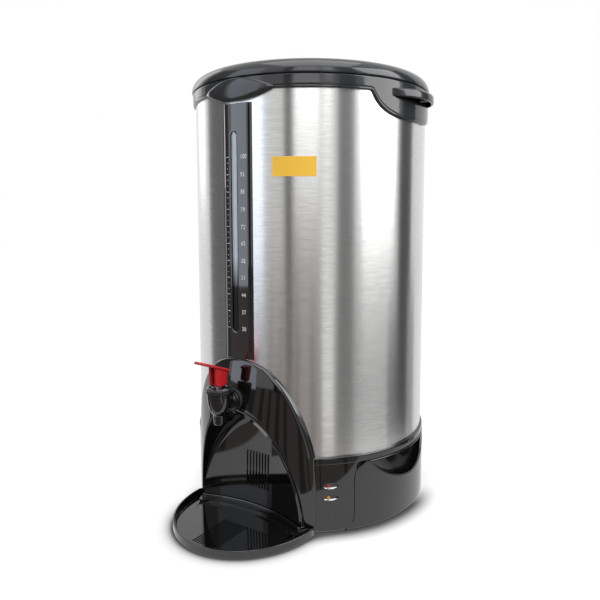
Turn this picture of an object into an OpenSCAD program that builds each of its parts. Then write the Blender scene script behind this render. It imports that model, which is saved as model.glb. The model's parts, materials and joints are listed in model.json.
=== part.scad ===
// Coffee urn with a double-walled steel body, a sight gauge, a lever tap over a cup niche
// and a loose drip tray. Millimetres. The origin is the body's axis at table height,
// the tap faces -Y and +Z is up.

/* [Body] */
// Outer radius of the steel jacket
jacket_r = 143; // [132:0.5:155]
// Sheet thickness of the jacket and the tank
sheet_t = 0.8; // [0.6:0.1:1.1]
// Height of the jacket's top edge above the table
jacket_top = 489; // [450:1:530]
// Gap between the tank floor and the niche roof below it
floor_gap = 2.2; // [1.5:0.1:4]
// Radius of the heater well in the tank floor
well_r = 28; // [25:0.5:34]
// Depth of the heater well
well_depth = 17; // [12:0.5:24]

/* [Base] */
// How far the base's top band stands out from the jacket
band_proud = 2.5; // [2:0.1:4]
// Height of the base's top edge
base_h = 86.2; // [80:0.2:95]
// Height of the top band
band_h = 8.2; // [6:0.2:10]
// Depth of the jacket's seat in the band
seat_depth = 4; // [2:0.5:5]
// Wall of the base mouldings
base_wall = 3; // [2:0.1:3.5]
// Gap between the base's rim and the table
base_lift = 1.5; // [1:0.1:3]
// Angle from the front to the edge of the rear cover
cover_angle = 53.5; // [48:0.5:60]
// How far the rear cover stands out from the base wall
cover_proud = 1; // [0.6:0.1:2]
// Half width of a finger recess
grip_half = 70; // [50:1:75]
// Height of a finger recess
grip_h = 31; // [24:1:34]
// Depth of a finger recess
grip_depth = 26; // [18:1:32]
// Wall of the finger cups
cup_wall = 2; // [1.5:0.1:2.5]
// Thickness of the base plate
plate_t = 1.2; // [0.8:0.1:2]
// Height of the base plate's underside
plate_z = 5; // [4:0.5:8]
// Radius of a rubber foot
foot_r = 10; // [8:0.5:13]
// Distance of the feet from the axis
foot_ring = 112; // [100:1:115]

/* [Niche and apron] */
// Half width of the cup niche at the table
niche_half = 72.5; // [66:0.5:76]
// Height of the cup niche's arch
niche_h = 131.5; // [120:0.5:140]
// Wall of the niche liner
niche_wall = 2.5; // [2:0.1:3]
// Depth of the niche's back wall behind the jacket's front
niche_depth = 29; // [24:0.5:36]
// Radius of the niche's back wall
niche_back_r = 186.6; // [170:1:205]
// Height of the apron above the tap's axis
apron_rise = 44; // [36:0.5:52]
// Half width of the apron at its fold
apron_half = 86; // [84:0.5:90]
// Half width of the apron's outline where it would meet the table
apron_flare = 90; // [90:0.5:96]
// How far the apron stands out from the jacket at the front
apron_proud = 11.3; // [9:0.1:14]
// How much smaller the radius of the apron's front face is than the jacket's
apron_flatten = 21; // [16:0.5:26]
// Radius of the backward curve of the apron's upper face
apron_lean_r = 340; // [280:5:420]
// Height at which the apron's face starts to lean back
apron_lean_z = 120; // [110:1:130]
// Wall of the apron
apron_wall = 2.7; // [2:0.1:3.5]
// Height of the apron's legs above the table
leg_lift = 10; // [10:0.5:14]

/* [Collar and handles] */
// Wall of the collar's skirt
collar_wall = 3.3; // [2.5:0.1:4]
// Drop of the collar's skirt below the jacket's top
collar_drop = 7.3; // [6:0.1:10]
// Thickness of the collar's deck
deck_t = 3; // [2:0.1:4]
// Height of the collar's rim above its deck
rim_h = 3.2; // [2.5:0.1:5]
// Drop of the ears below the collar's skirt
ear_drop = 26.7; // [20:0.1:34]
// Half width of an ear at the skirt
ear_half = 72; // [62:0.5:80]
// Half width of an ear's straight bottom edge
ear_flat = 22; // [14:0.5:30]
// Reach of a handle beyond the collar
handle_reach = 14; // [10:0.5:24]
// Half width of a handle
handle_half = 48.5; // [40:0.5:56]
// Height of a handle
handle_t = 9.5; // [8:0.5:14]
// Drop of a handle's top below the collar's rim
handle_drop = 8.5; // [5:0.5:10]
// Wall of a handle
handle_wall = 3; // [2:0.1:3.5]
// Half width of the badge plate
badge_half = 48; // [36:0.5:54]
// Half height of the badge plate
badge_rise = 12.4; // [9:0.1:13]
// How far the badge plate stands out from the collar
badge_proud = 2.5; // [1.5:0.1:4]

/* [Lid] */
// Overhang of the lid beyond the collar
lid_over = 1; // [0.5:0.1:2]
// Radius of the lid's shoulder
lid_round = 17; // [12:0.5:20]
// Rise of the lid's dome above its shoulder
lid_dome = 7; // [4:0.5:14]
// Wall of the lid
lid_wall = 2.5; // [2:0.1:3]
// Depth of the lid's liner below the collar's deck
liner_depth = 8; // [6:0.5:12]
// Radius of the lid's knob
knob_r = 20; // [16:0.5:24]
// Height of the lid's knob
knob_h = 18; // [14:0.5:24]

/* [Gauge] */
// Outer diameter of the sight tube
tube_d = 8; // [7:0.1:9]
// Bore of the sight tube
tube_bore = 6; // [5:0.1:6.4]
// Half width of the gauge strip
strip_half = 20.3; // [16:0.1:24]
// Thickness of the gauge strip
strip_t = 2.1; // [1.5:0.1:3]
// Width of the gauge's slot
slot_w = 8.7; // [7:0.1:10]
// Offset of the gauge's slot from the middle
slot_x = -3.1; // [-5:0.1:0]
// Distance of the slot's ends from the strip's ends
slot_end = 30; // [22:0.5:40]

/* [Tap] */
// Height of the tap's axis above the tank floor
tap_rise = 10; // [9.5:0.5:14]
// Distance of the tap's barrel from the jacket
tap_reach = 34.5; // [30:0.5:42]
// Outer radius of the tap's shank
shank_r = 6.5; // [5.5:0.1:7]
// Radius of the tap's flange
flange_r = 12.2; // [10:0.1:13]
// Outer radius of the tap's barrel
barrel_r = 12.4; // [11.5:0.1:14]
// Height of the barrel's top above the tap's axis
barrel_up = 10; // [9:0.5:12]
// Depth of the barrel's bowl below its top
bowl_depth = 20.5; // [17:0.5:23]
// Length of the nozzle below the bowl
nozzle_len = 10.9; // [8:0.1:12]
// Outer radius of the nozzle
nozzle_r = 5.3; // [5:0.1:6]
// Wall of the tap
tap_wall = 3; // [2:0.1:3.2]
// Height of the tap's bonnet
bonnet_h = 10; // [8:0.5:13]
// Radius of the valve stem
stem_r = 3; // [2.6:0.1:3.4]
// Height of the lever's pin above the bonnet
pin_rise = 11; // [10.5:0.5:14]
// Radius of the lever's pin
pin_r = 1.5; // [1.2:0.1:1.8]
// Depth of the lever's heel in front of its pin
heel_half = 8; // [7:0.5:8.5]
// Thickness of each of the lever's cheeks
cheek_t = 3; // [2.4:0.1:4]
// Thickness of the stem's flat tongue
tongue_t = 3.8; // [3:0.1:4.4]
// Length of the lever's paddle
paddle_len = 46.5; // [40:0.5:54]
// Width of the lever's paddle
paddle_w = 14; // [12:0.5:18]
// Thickness of the lever's paddle
paddle_t = 3.3; // [2.5:0.1:4.5]
// Upward slope of the lever's paddle
paddle_slope = 20.8; // [12:0.1:24]
// Distance of the paddle's back end behind the lever's pin
paddle_back = 10.5; // [10:0.5:16]

/* [Drip tray] */
// Half width of the tray
tray_half = 86; // [80:0.5:90]
// Reach of the tray's rounded front
tray_reach = 95; // [80:0.5:105]
// Height of the tray's rim
tray_h = 9; // [8:0.5:9.5]
// Wall of the tray
tray_wall = 4; // [2.5:0.5:6]
// Thickness of the tray's floor
tray_floor = 2; // [1.5:0.1:3]
// Depth of each step at the tray's back
tray_step = 10; // [8:0.5:14]

/* [Percolator] */
// Outer radius of the pump tube
pump_r = 5; // [4.4:0.1:6]
// Bore radius of the pump tube
pump_bore = 4; // [3:0.1:4.2]
// Height of the pump tube's top below the jacket's top
pump_drop = 34; // [30:1:60]
// Outer radius of the filter basket
basket_r = 96; // [80:1:105]
// Height of the filter basket
basket_h = 100; // [80:1:120]
// Height of the basket's floor below the jacket's top
basket_drop = 159; // [150:1:190]

/* [Lamps and inlet] */
// Angle of the lamps from the front
lamp_angle = 42.5; // [41:0.5:45]
// Height of the upper lamp
lamp_z = 53.5; // [48:0.5:62]
// Distance between the lamps
lamp_pitch = 13.2; // [10:0.1:18]
// Radius of a lamp
lamp_r = 3; // [2:0.1:3]
// Half width of a lamp's eye-shaped bezel
eye_half = 9; // [7:0.1:10]
// Half height of a lamp's bezel
eye_rise = 4; // [3.8:0.1:4.6]
// Bore radius of the cord's gland
gland_bore = 3.75; // [3:0.05:4.5]
// Height of the cord's gland
gland_z = 28; // [22:0.5:34]

/* [Clearances] */
// Gap between fixed pieces that lie side by side
seam = 0.2; // [0.1:0.05:0.3]
// Gap between pieces that move against each other
play = 0.3; // [0.2:0.05:0.5]
// Radial clearance of a shaft in its bore
running = 0.05; // [0.02:0.01:0.1]
// Gap between the sight tube and the walls beside it
tube_gap = 0.45; // [0.3:0.05:0.8]

/* [Hidden] */
$fn = 180;
eps = 1;
far = 700;

tank_out = jacket_r - sheet_t - tube_d - 2 * tube_gap;
tank_in = tank_out - sheet_t;
tank_floor = niche_h + niche_wall + floor_gap + sheet_t;
floor_under = tank_floor - sheet_t;
well_floor = tank_floor - well_depth;

band_r = jacket_r + band_proud;
band_step = 0.5;
base_r = band_r - band_step;
inner_wall_r = base_r - base_wall;
inner_wall_in = inner_wall_r - base_wall;
band_z = base_h - band_h;
seat_z = base_h - seat_depth;
cover_r = base_r + cover_proud;
cover_in = inner_wall_r + seam;
cover_gap = 0.7;
cover_split = 0.1;
wall_lap_angle = 7;
cover_top = band_z - cover_gap;
grip_top = cover_top - cup_wall;
cup_back = inner_wall_r - grip_depth;
wall_gap_half = grip_half + cup_wall + seam;
cover_lap = 5;
cover_join = wall_gap_half + cover_lap;
boss_r = 4;
boss_h = 14;
boss_sink = 0.5;
screw_ring = inner_wall_in - boss_r + boss_sink;
screw_r = 1.6;
screw_head_t = 2;
screw_len = 11;
plate_top = plate_z + plate_t;
plate_r = inner_wall_in - seam;
foot_plug_r = foot_r / 3;
foot_plug_up = 2;

apron_face_r = jacket_r - apron_flatten;
face_y = -(apron_proud + apron_flatten);
apron_power = 2.4;
back_y = -(jacket_r - niche_depth);
back_axis = back_y - niche_back_r;
roof_half = niche_half + niche_wall;
roof_h = niche_h + niche_wall;
rib_count = 8;
rib_span = 31;
rib_w = 1.4;
rib_depth = 2.2;
rib_proud = 1.2;
rib_z = [29, 72];
liner_inset = 0.3;

tap_z = tank_floor + tap_rise;
apron_top = tap_z + apron_rise;
tap_y = -(jacket_r + tap_reach);
shank_bore = shank_r - 2;
washer_face = -(jacket_r + apron_proud + 1.7);
flange_t = 4;
barrel_top = tap_z + barrel_up;
bowl_z = barrel_top - bowl_depth;
nozzle_z = bowl_z - nozzle_len;
chamber_r = barrel_r - tap_wall;
outlet_r = nozzle_r - 1.5;
seat_top = bowl_z + 4.5;
bonnet_top = barrel_top + bonnet_h;
bonnet_r = barrel_r + 0.6;
plug_depth = 4.5;
pocket_top = bonnet_top - 3;
pocket_r = stem_r + 3;
spring_r = stem_r + 1.6;
spring_wire = 0.6;
cup_top = seat_top + 8;
pin_z = bonnet_top + pin_rise;
tongue_z = pin_z - norm([heel_half + 0.6, pin_rise]) - 0.5;
paddle_z = pin_z + 4;
slot_half = tongue_t / 2 + 0.15;
cheek_out = slot_half + cheek_t;
nut_r = shank_r + 3.5;
nut_t = 8;
washer_t = 2;
washer_r = nut_r - 1;
washer_y = -(sqrt(tank_in * tank_in - washer_r * washer_r) - 0.1);
shank_end = 2;
neck_r = flange_r - 3;
stem_foot = seat_top + 4;
stem_over = 3.4;
spring_gap = 0.05;
spring_turns = 5;

collar_in = jacket_r + seam;
collar_r = collar_in + collar_wall;
collar_z = jacket_top - collar_drop;
deck_z = jacket_top + sheet_t;
deck_top = deck_z + deck_t;
rim_z = deck_top + rim_h;
rim_t = 2.7;
rim_in = collar_r - rim_t;
deck_in = tank_in + 0.5;
ear_z = collar_z - ear_drop;
handle_top = rim_z - handle_drop;
handle_z = handle_top - handle_t;
handle_chord = sqrt(collar_r * collar_r - handle_half * handle_half);
handle_sag = collar_r + handle_reach - handle_chord;
handle_r = (handle_half * handle_half + handle_sag * handle_sag) / (2 * handle_sag);
handle_x = collar_r + handle_reach - handle_r;
handle_screw_in = 28.5;
handle_screw_y = handle_half - handle_screw_in;
handle_screw_z = handle_top - handle_t / 2;
handle_screw_r = 1.8;
handle_head_r = 3;
handle_head_t = 2.4;
handle_boss = [3, 7];
handle_screw_bite = 4;
handle_head_x = sqrt(pow(jacket_r - sheet_t, 2) - pow(handle_screw_y + handle_head_r, 2));
badge_r = collar_r + badge_proud;
badge_z = rim_z - badge_rise;
badge_arc = (badge_half * badge_half + badge_rise * badge_rise) / (2 * badge_rise);

strip_z = [apron_top + 0.5, badge_z - badge_rise - 1.6];
slot_z = [strip_z[0] + slot_end, strip_z[1] - slot_end];
strip_in = jacket_r + 0.1;
strip_r = strip_in + strip_t;
window_lap = 2.6;
slot_cut = 4;
tube_y = -sqrt(pow(tank_out + tube_gap + tube_d / 2, 2) - slot_x * slot_x);
socket_y = [-(jacket_r - sheet_t) + 1, -tank_out - 0.3];
socket_r = 11.5;
socket_rise = 13;
socket_top = tap_z + socket_rise;
nipple_r = tube_bore / 2 - running;
nipple_len = 12;
nipple_wall = 1.2;
cap_plug = 8;
seal_t = 1.5;
tube_z = [socket_top + seal_t, jacket_top - 11];

lid_z = rim_z + play;
lid_r = collar_r + lid_over;
shoulder_r = lid_r - lid_round;
shoulder_z = lid_z + 0.5;
dome_z = shoulder_z + lid_round;
dome_top = dome_z + lid_dome;
liner_r = tank_in - 1.3;
liner_z = jacket_top - liner_depth;
liner_flange_z = deck_top + 2 * play;
liner_flange_r = rim_in - 0.5;
gasket_z = [2, 5];
post_r = 8;
knob_bite = 7;
screw_bottom = 2;
knob_screw_r = 2.4;

tray_set = 20;
tray_y = -(jacket_r - tray_set);
tray_play = 0.6;
tray_shelf = 3;
tray_rib = [1.2, 52, 1.7];
tray_rib_span = 26;
tray_rib_inset = 14;
tray_rib_sink = 0.5;
pump_top = jacket_top - pump_drop;
pump_foot_r = well_r - 4;
pump_foot_t = 2;
pump_flare = 6;
pump_cone_z = [11, 15];
basket_z = jacket_top - basket_drop;
stop_t = 4;
basket_sheet = 1;
sleeve_r = pump_r + 0.3;
sleeve_h = 40;
basket_lip = 3;
drain_r = 1.5;
drain_count = 12;
spreader_z = basket_z + basket_h + 1.5;

stud_r = 4;
stud_nut_r = stud_r + 3.5;
stud_nut_t = 3;
pillar_r = 11;
element_r = [40, 50];
element_t = 5.2;
thermostat_place = [-62, 40];
thermostat_size = [9, 12];
fuse_place = [62, 40];
fuse_size = [4, 10];
block_place = [-68, 52];
block_size = [36, 16, 14];
block_hole_r = 2.4;
block_pitch = 12;
bezel_r = base_r - 1.2;
bezel_lip = 0.6;
lamp_out = 0.4;
lamp_flange = [1.2, 6];
gland_body_r = gland_bore + 3;
gland_flange_r = gland_bore + 5.2;
gland_y = [inner_wall_in - 3, cover_r + 3];
label_angle = [17.5, 36.3];
label_z = [391, 411.7];
label_t = 0.25;

steel = "#b9b9bb";
black = "#2b2b2e";
charcoal = "#3a3b3f";
red = "#c8202a";

// Upright ring between two radii and two heights
module ring(r_out, r_in, z0, z1) {
  difference() {
    translate([0, 0, z0]) cylinder(r = r_out, h = z1 - z0);
    translate([0, 0, z0 - eps]) cylinder(r = r_in, h = z1 - z0 + 2 * eps);
  }
}

// Rod along Y between two places
module rod_y(r, y0, y1, x, z) {
  translate([x, y1, z]) rotate([90, 0, 0]) cylinder(r = r, h = y1 - y0);
}

// Rod along X between two places
module rod_x(r, x0, x1, y, z) {
  translate([x0, y, z]) rotate([0, 90, 0]) cylinder(r = r, h = x1 - x0);
}

// Wedge open to the front, of a half angle under 90 degrees
module front_wedge(angle) {
  linear_extrude(height = 2 * far, center = true)
    polygon([[0, 0], [-far * sin(angle), -far * cos(angle)], [far * sin(angle), -far * cos(angle)]]);
}

// Front outline in X and Z, made solid along Y in front of the axis
module front_prism(points) {
  rotate([90, 0, 0]) linear_extrude(height = far) polygon(points);
}

// Arch of the cup niche, a half ellipse that stands on the table
function arch_points(half, rise) = concat(
  [for (i = [0:48]) [half * cos(180 * i / 48), rise * sin(180 * i / 48)]],
  [[-half, -2 * eps], [half, -2 * eps]]);

// Outline of the apron, half a superellipse
function apron_points(half, rise) = [for (i = [0:48])
  let (a = 180 * i / 48)
  [half * sign(cos(a)) * pow(abs(cos(a)), 2 / apron_power), rise * pow(abs(sin(a)), 2 / apron_power)]];

// Backward lean of the apron's face at a height
function lean(z) = z < apron_lean_z ? 0
  : apron_lean_r - sqrt(apron_lean_r * apron_lean_r - pow(z - apron_lean_z, 2));

// Space behind the apron's front face, taken in by a margin
module face_space(margin) {
  top = apron_top + 10;
  translate([0, face_y, 0]) rotate_extrude($fn = 360) polygon(concat(
    [[0, 0], [apron_face_r - margin, 0]],
    [for (i = [0:10])
      let (z = apron_lean_z + (top - apron_lean_z) * i / 10)
      [apron_face_r - margin - lean(z), z]],
    [[0, top]]));
}

// Upright cylinder in front of the niche's back wall
module back_space(margin) {
  translate([0, back_axis, -eps]) cylinder(r = niche_back_r + margin, h = far);
}

// Hole through the front walls for the tap's shank
module shank_hole() {
  rod_y(shank_r + seam, -far, -tank_in / 2, 0, tap_z);
}

// Half-moon of a finger recess on both sides, beyond a distance from the middle
module grip_moon(margin, x0) {
  arc = (grip_half * grip_half + grip_h * grip_h) / (2 * grip_h);
  for (side = [0, 1])
    mirror([side, 0, 0]) intersection() {
      rod_x(arc + margin, x0, far, 0, grip_top - grip_h + arc);
      translate([x0, -far, 0]) cube([far, 2 * far, grip_top + margin]);
    }
}

// Eye-shaped outline of a lamp's bezel, as a prism along Y at the lamp's place
module eye(margin, z) {
  half = eye_half + margin;
  rise = eye_rise + margin;
  arc = (half * half + rise * rise) / (2 * rise);
  intersection() {
    rod_y(arc, -base_r - base_wall, -inner_wall_in, 0, z + arc - rise);
    rod_y(arc, -base_r - base_wall, -inner_wall_in, 0, z - arc + rise);
  }
}

// Places of the four screws that hold the base plate
module at_base_screws() {
  for (a = [35, 145, 215, 325])
    rotate([0, 0, a]) translate([screw_ring, 0, 0]) children();
}

module at_feet() {
  for (a = [40, 140, 220, 320])
    rotate([0, 0, a]) translate([foot_ring, 0, 0]) children();
}

// Top band of the base, with the jacket's seat
module base_ring() {
  color(black) difference() {
    union() {
      ring(band_r, inner_wall_in, band_z, seat_z);
      ring(band_r, jacket_r + seam, seat_z - eps, base_h);
    }
    front_prism(arch_points(roof_half + seam, roof_h + seam));
  }
}

// Walls under the band: two at the front and one at the back, open behind the finger recesses
module base_walls() {
  wall_top = band_z - seam;
  color(black) difference() {
    union() {
      intersection() {
        ring(base_r, inner_wall_r, base_lift, wall_top);
        front_wedge(cover_angle);
      }
      difference() {
        ring(inner_wall_r, inner_wall_in, base_lift, wall_top);
        front_wedge(cover_angle - wall_lap_angle);
        translate([-far, -wall_gap_half, 0]) cube([2 * far, 2 * wall_gap_half, far]);
      }
      at_base_screws() translate([0, 0, plate_top]) cylinder(r = boss_r, h = boss_h);
    }
    front_prism(arch_points(roof_half + seam, roof_h + seam));
    grip_moon(cup_wall + seam, cup_back);
    at_base_screws() translate([0, 0, plate_top - eps])
      cylinder(r = screw_r + running, h = screw_len + eps);
    rod_y(gland_body_r + seam, 0, far, 0, gland_z);
    for (z = [lamp_z, lamp_z - lamp_pitch])
      rotate([0, 0, lamp_angle]) eye(seam, z);
  }
}

// Block over the finger recesses, where the edges of their roofs show as bars
module grip_bars(margin) {
  width = 2 * (grip_half + margin);
  translate([-far, -width / 2, grip_top - eps]) cube([2 * far, width, cup_wall + 2 * eps]);
}

module side_covers() {
  color(black) difference() {
    ring(cover_r, cover_in, base_lift, cover_top);
    front_wedge(cover_angle + cover_split);
    translate([-far, cover_join, 0]) cube([2 * far, far, far]);
    grip_moon(0, cup_back);
    grip_bars(seam);
  }
}

module rear_cover() {
  color(black) difference() {
    ring(cover_r, cover_in, base_lift, cover_top);
    translate([-far, cover_join + seam - far, 0]) cube([2 * far, far, far]);
    rod_y(gland_body_r + seam, 0, far, 0, gland_z);
  }
}

module grip_cups() {
  color(charcoal) {
    difference() {
      intersection() {
        grip_moon(cup_wall, cup_back);
        translate([0, 0, -eps]) cylinder(r = inner_wall_r, h = far);
      }
      grip_moon(0, cup_back + cup_wall);
    }
    intersection() {
      ring(cover_r, inner_wall_in, grip_top, cover_top);
      grip_bars(0);
    }
  }
}

module base_plate() {
  color(steel) difference() {
    translate([0, 0, plate_z]) cylinder(r = plate_r, h = plate_t);
    back_space(niche_wall + seam);
    at_base_screws() translate([0, 0, plate_z - eps]) cylinder(r = screw_r + seam, h = plate_t + 2 * eps);
    at_feet() translate([0, 0, plate_z - eps]) cylinder(r = foot_plug_r + running, h = plate_t + 2 * eps);
    translate([0, 0, plate_z - eps]) cylinder(r = stud_r + seam, h = plate_t + 2 * eps);
  }
}

module rubber_feet() {
  color("#1c1c1c") at_feet() {
    cylinder(r = foot_r, h = plate_z);
    cylinder(r = foot_plug_r, h = plate_top + foot_plug_up);
  }
}

module base_screws() {
  color(steel) at_base_screws() {
    translate([0, 0, plate_z - screw_head_t]) cylinder(r = 2 * screw_r, h = screw_head_t);
    translate([0, 0, plate_z - eps]) cylinder(r = screw_r, h = plate_t + screw_len);
  }
}

module outer_jacket() {
  color(steel) difference() {
    ring(jacket_r, jacket_r - sheet_t, seat_z, jacket_top);
    front_prism(arch_points(roof_half + seam, roof_h + seam));
    gauge_slot(window_lap + seam, jacket_r - slot_cut, jacket_r + eps);
    shank_hole();
    handle_screw_holes();
  }
}

module inner_tank() {
  color(steel) difference() {
    rotate_extrude() polygon([
      [0, well_floor - sheet_t], [well_r + sheet_t, well_floor - sheet_t],
      [well_r + sheet_t, floor_under], [tank_out, floor_under],
      [tank_out, jacket_top], [jacket_r, jacket_top],
      [jacket_r, deck_z], [tank_in, deck_z],
      [tank_in, tank_floor], [well_r, tank_floor],
      [well_r, well_floor], [0, well_floor]]);
    shank_hole();
  }
}

module tank_pillar() {
  color(steel) ring(pillar_r, stud_r + seam, plate_top, well_floor - sheet_t);
}

module tank_stud() {
  color(steel) translate([0, 0, plate_z - stud_nut_t])
    cylinder(r = stud_r, h = well_floor - sheet_t - plate_z + stud_nut_t);
}

module stud_nut() {
  color(steel) difference() {
    translate([0, 0, plate_z - stud_nut_t]) cylinder(r = stud_nut_r, h = stud_nut_t, $fn = 6);
    translate([0, 0, plate_z - stud_nut_t - eps]) cylinder(r = stud_r + running, h = stud_nut_t + 2 * eps);
  }
}

module apron_outline(margin) {
  front_prism(apron_points(apron_flare - margin, apron_top - margin));
}

module front_apron() {
  color(black) difference() {
    intersection() {
      face_space(0);
      apron_outline(0);
      translate([-apron_half, -far, base_h]) cube([2 * apron_half, far, far]);
    }
    cylinder(r = jacket_r + seam, h = far);
    front_prism(arch_points(roof_half + seam, roof_h + seam));
    difference() {
      intersection() {
        face_space(apron_wall);
        apron_outline(apron_wall + 1);
        translate([-apron_half + apron_wall, -far, base_h + apron_wall])
          cube([2 * (apron_half - apron_wall), far, far]);
      }
      front_prism(arch_points(roof_half + apron_wall, roof_h + apron_wall));
      rod_y(flange_r, -far, 0, 0, tap_z);
    }
    shank_hole();
  }
}

module front_legs() {
  color(black) difference() {
    intersection() {
      face_space(0);
      translate([-apron_half, -far, leg_lift]) cube([2 * apron_half, far, base_h - seam - leg_lift]);
    }
    translate([0, 0, -eps]) cylinder(r = band_r + seam, h = far);
    front_prism(arch_points(roof_half + seam, roof_h + seam));
  }
}

module niche_panel() {
  color(black) {
    difference() {
      intersection() {
        face_space(liner_inset);
        front_prism(arch_points(roof_half, roof_h));
        back_space(niche_wall);
        translate([-far, -far, base_lift]) cube([2 * far, far, far]);
      }
      intersection() {
        union() {
          front_prism(arch_points(niche_half, niche_h));
          translate([-far, -far, -eps]) cube([2 * far, far, leg_lift + eps]);
        }
        back_space(0);
      }
    }
    for (i = [0:rib_count - 1])
      translate([-rib_span / 2 + rib_span * i / (rib_count - 1) - rib_w / 2, back_y - rib_proud, rib_z[0]])
        cube([rib_w, rib_depth, rib_z[1] - rib_z[0]]);
  }
}

// Slot of the gauge with round ends, between two distances from the axis
module gauge_slot(margin, y0, y1) {
  half = slot_w / 2 + margin;
  ends = [slot_z[0] + slot_w / 2, slot_z[1] - slot_w / 2];
  for (z = ends) rod_y(half, -y1, -y0, slot_x, z);
  translate([slot_x - half, -y1, ends[0]]) cube([2 * half, y1 - y0, ends[1] - ends[0]]);
}

module gauge_strip() {
  color("#151517") difference() {
    intersection() {
      ring(strip_r, strip_in, strip_z[0], strip_z[1]);
      translate([-strip_half, -far, 0]) cube([2 * strip_half, far, far]);
    }
    gauge_slot(0, jacket_r - slot_cut, strip_r + eps);
  }
}

module gauge_window() {
  color([0.75, 0.8, 0.82, 0.4]) intersection() {
    ring(strip_in - running, jacket_r - sheet_t - seam, 0, far * 2);
    gauge_slot(window_lap, jacket_r - slot_cut, jacket_r + eps);
  }
}

module sight_tube() {
  color([0.8, 0.86, 0.88, 0.4]) translate([slot_x, tube_y, 0])
    ring(tube_d / 2, tube_bore / 2, tube_z[0], tube_z[1]);
}

module sight_socket() {
  color("#d8d4c8") difference() {
    union() {
      rod_y(socket_r, socket_y[0], socket_y[1], 0, tap_z);
      intersection() {
        translate([slot_x - tube_d / 2, -far, tap_z]) cube([tube_d, far, socket_top - tap_z]);
        ring(jacket_r - sheet_t - seam, tank_out + seam, 0, far);
      }
      translate([slot_x, tube_y, tap_z]) cylinder(r = nipple_r, h = socket_top - tap_z + nipple_len);
    }
    rod_y(shank_r + running, -far, 0, 0, tap_z);
    translate([slot_x, tube_y, tap_z]) cylinder(r = nipple_r - nipple_wall, h = far);
  }
}

module sight_seal() {
  color("#6a3a30") translate([slot_x, tube_y, 0])
    ring(tube_d / 2, nipple_r + running, socket_top, tube_z[0]);
}

module sight_cap() {
  color("#d8d4c8") translate([slot_x, tube_y, 0]) {
    translate([0, 0, tube_z[1]]) cylinder(r = tube_d / 2, h = jacket_top - tube_z[1]);
    translate([0, 0, tube_z[1] - cap_plug]) cylinder(r = tube_bore / 2 - running, h = cap_plug + eps);
  }
}

// Outline of an ear in Y and Z: a straight bottom edge that sweeps up to the skirt
function ear_points() = concat(
  [for (i = [-20:20])
    let (y = ear_half * i / 20, t = max(0, (abs(y) - ear_flat) / (ear_half - ear_flat)))
    [y, ear_z + ear_drop * t * t]],
  [[ear_half, collar_z + eps], [-ear_half, collar_z + eps]]);

module handle_screw_holes() {
  for (y = [-handle_screw_y, handle_screw_y])
    rod_x(handle_screw_r + seam, -far, far, y, handle_screw_z);
}

module top_collar() {
  color(charcoal) difference() {
    union() {
      rotate_extrude() polygon([
        [collar_in, collar_z], [collar_r, collar_z], [collar_r, rim_z], [rim_in, rim_z],
        [rim_in, deck_top], [deck_in, deck_top], [deck_in, deck_z], [collar_in, deck_z]]);
      intersection() {
        ring(collar_r, collar_in, ear_z - eps, collar_z + eps);
        translate([-far, 0, 0]) rotate([90, 0, 90]) linear_extrude(height = 2 * far) polygon(ear_points());
      }
    }
    handle_screw_holes();
  }
}

// Handle on the right: a hollow lug that grows out of the collar
module lug() {
  difference() {
    union() {
      difference() {
        translate([handle_x, 0, handle_z]) cylinder(r = handle_r, h = handle_t);
        translate([handle_x, 0, handle_z - eps])
          cylinder(r = handle_r - handle_wall, h = handle_t - handle_wall + eps);
      }
      for (y = [-handle_screw_y, handle_screw_y])
        rod_x(handle_screw_r + 2, collar_r - handle_boss[0], collar_r + handle_boss[1], y, handle_screw_z);
    }
    translate([0, 0, handle_z - 2 * eps]) cylinder(r = collar_r, h = handle_t + 4 * eps);
    translate([-far, -far, handle_z - eps]) cube([far, 2 * far, far]);
    for (y = [-handle_screw_y, handle_screw_y])
      rod_x(handle_screw_r + running, 0, collar_r + handle_screw_bite + eps, y, handle_screw_z);
  }
}

module handle_right() {
  color(charcoal) lug();
}

module handle_left() {
  color(charcoal) mirror([1, 0, 0]) lug();
}

module handle_screws() {
  color(steel) for (side = [0, 1], y = [-handle_screw_y, handle_screw_y])
    mirror([side, 0, 0]) {
      rod_x(handle_head_r, handle_head_x - handle_head_t, handle_head_x, y, handle_screw_z);
      rod_x(handle_screw_r, handle_head_x - eps, collar_r + handle_screw_bite, y, handle_screw_z);
    }
}

module badge_plate() {
  color(charcoal) difference() {
    intersection() {
      ring(badge_r, jacket_r + seam, 0, 2 * far);
      rod_y(badge_arc, -far, 0, 0, badge_z + badge_arc - badge_rise);
      rod_y(badge_arc, -far, 0, 0, badge_z - badge_arc + badge_rise);
    }
    translate([0, 0, collar_z - seam]) cylinder(r = collar_r + running, h = far);
  }
}

module care_label() {
  color("#f2c230") intersection() {
    ring(jacket_r + label_t, jacket_r, label_z[0], label_z[1]);
    difference() {
      front_wedge(label_angle[1]);
      front_wedge(label_angle[0]);
      translate([-far, -far, 0]) cube([far, far, 2 * far]);
    }
  }
}

// Radius of the barrel's bowl at a height
function bowl(z) = max(nozzle_r, barrel_r * sqrt(1 - pow((barrel_top - z) / (1.15 * bowl_depth), 2)));

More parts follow.
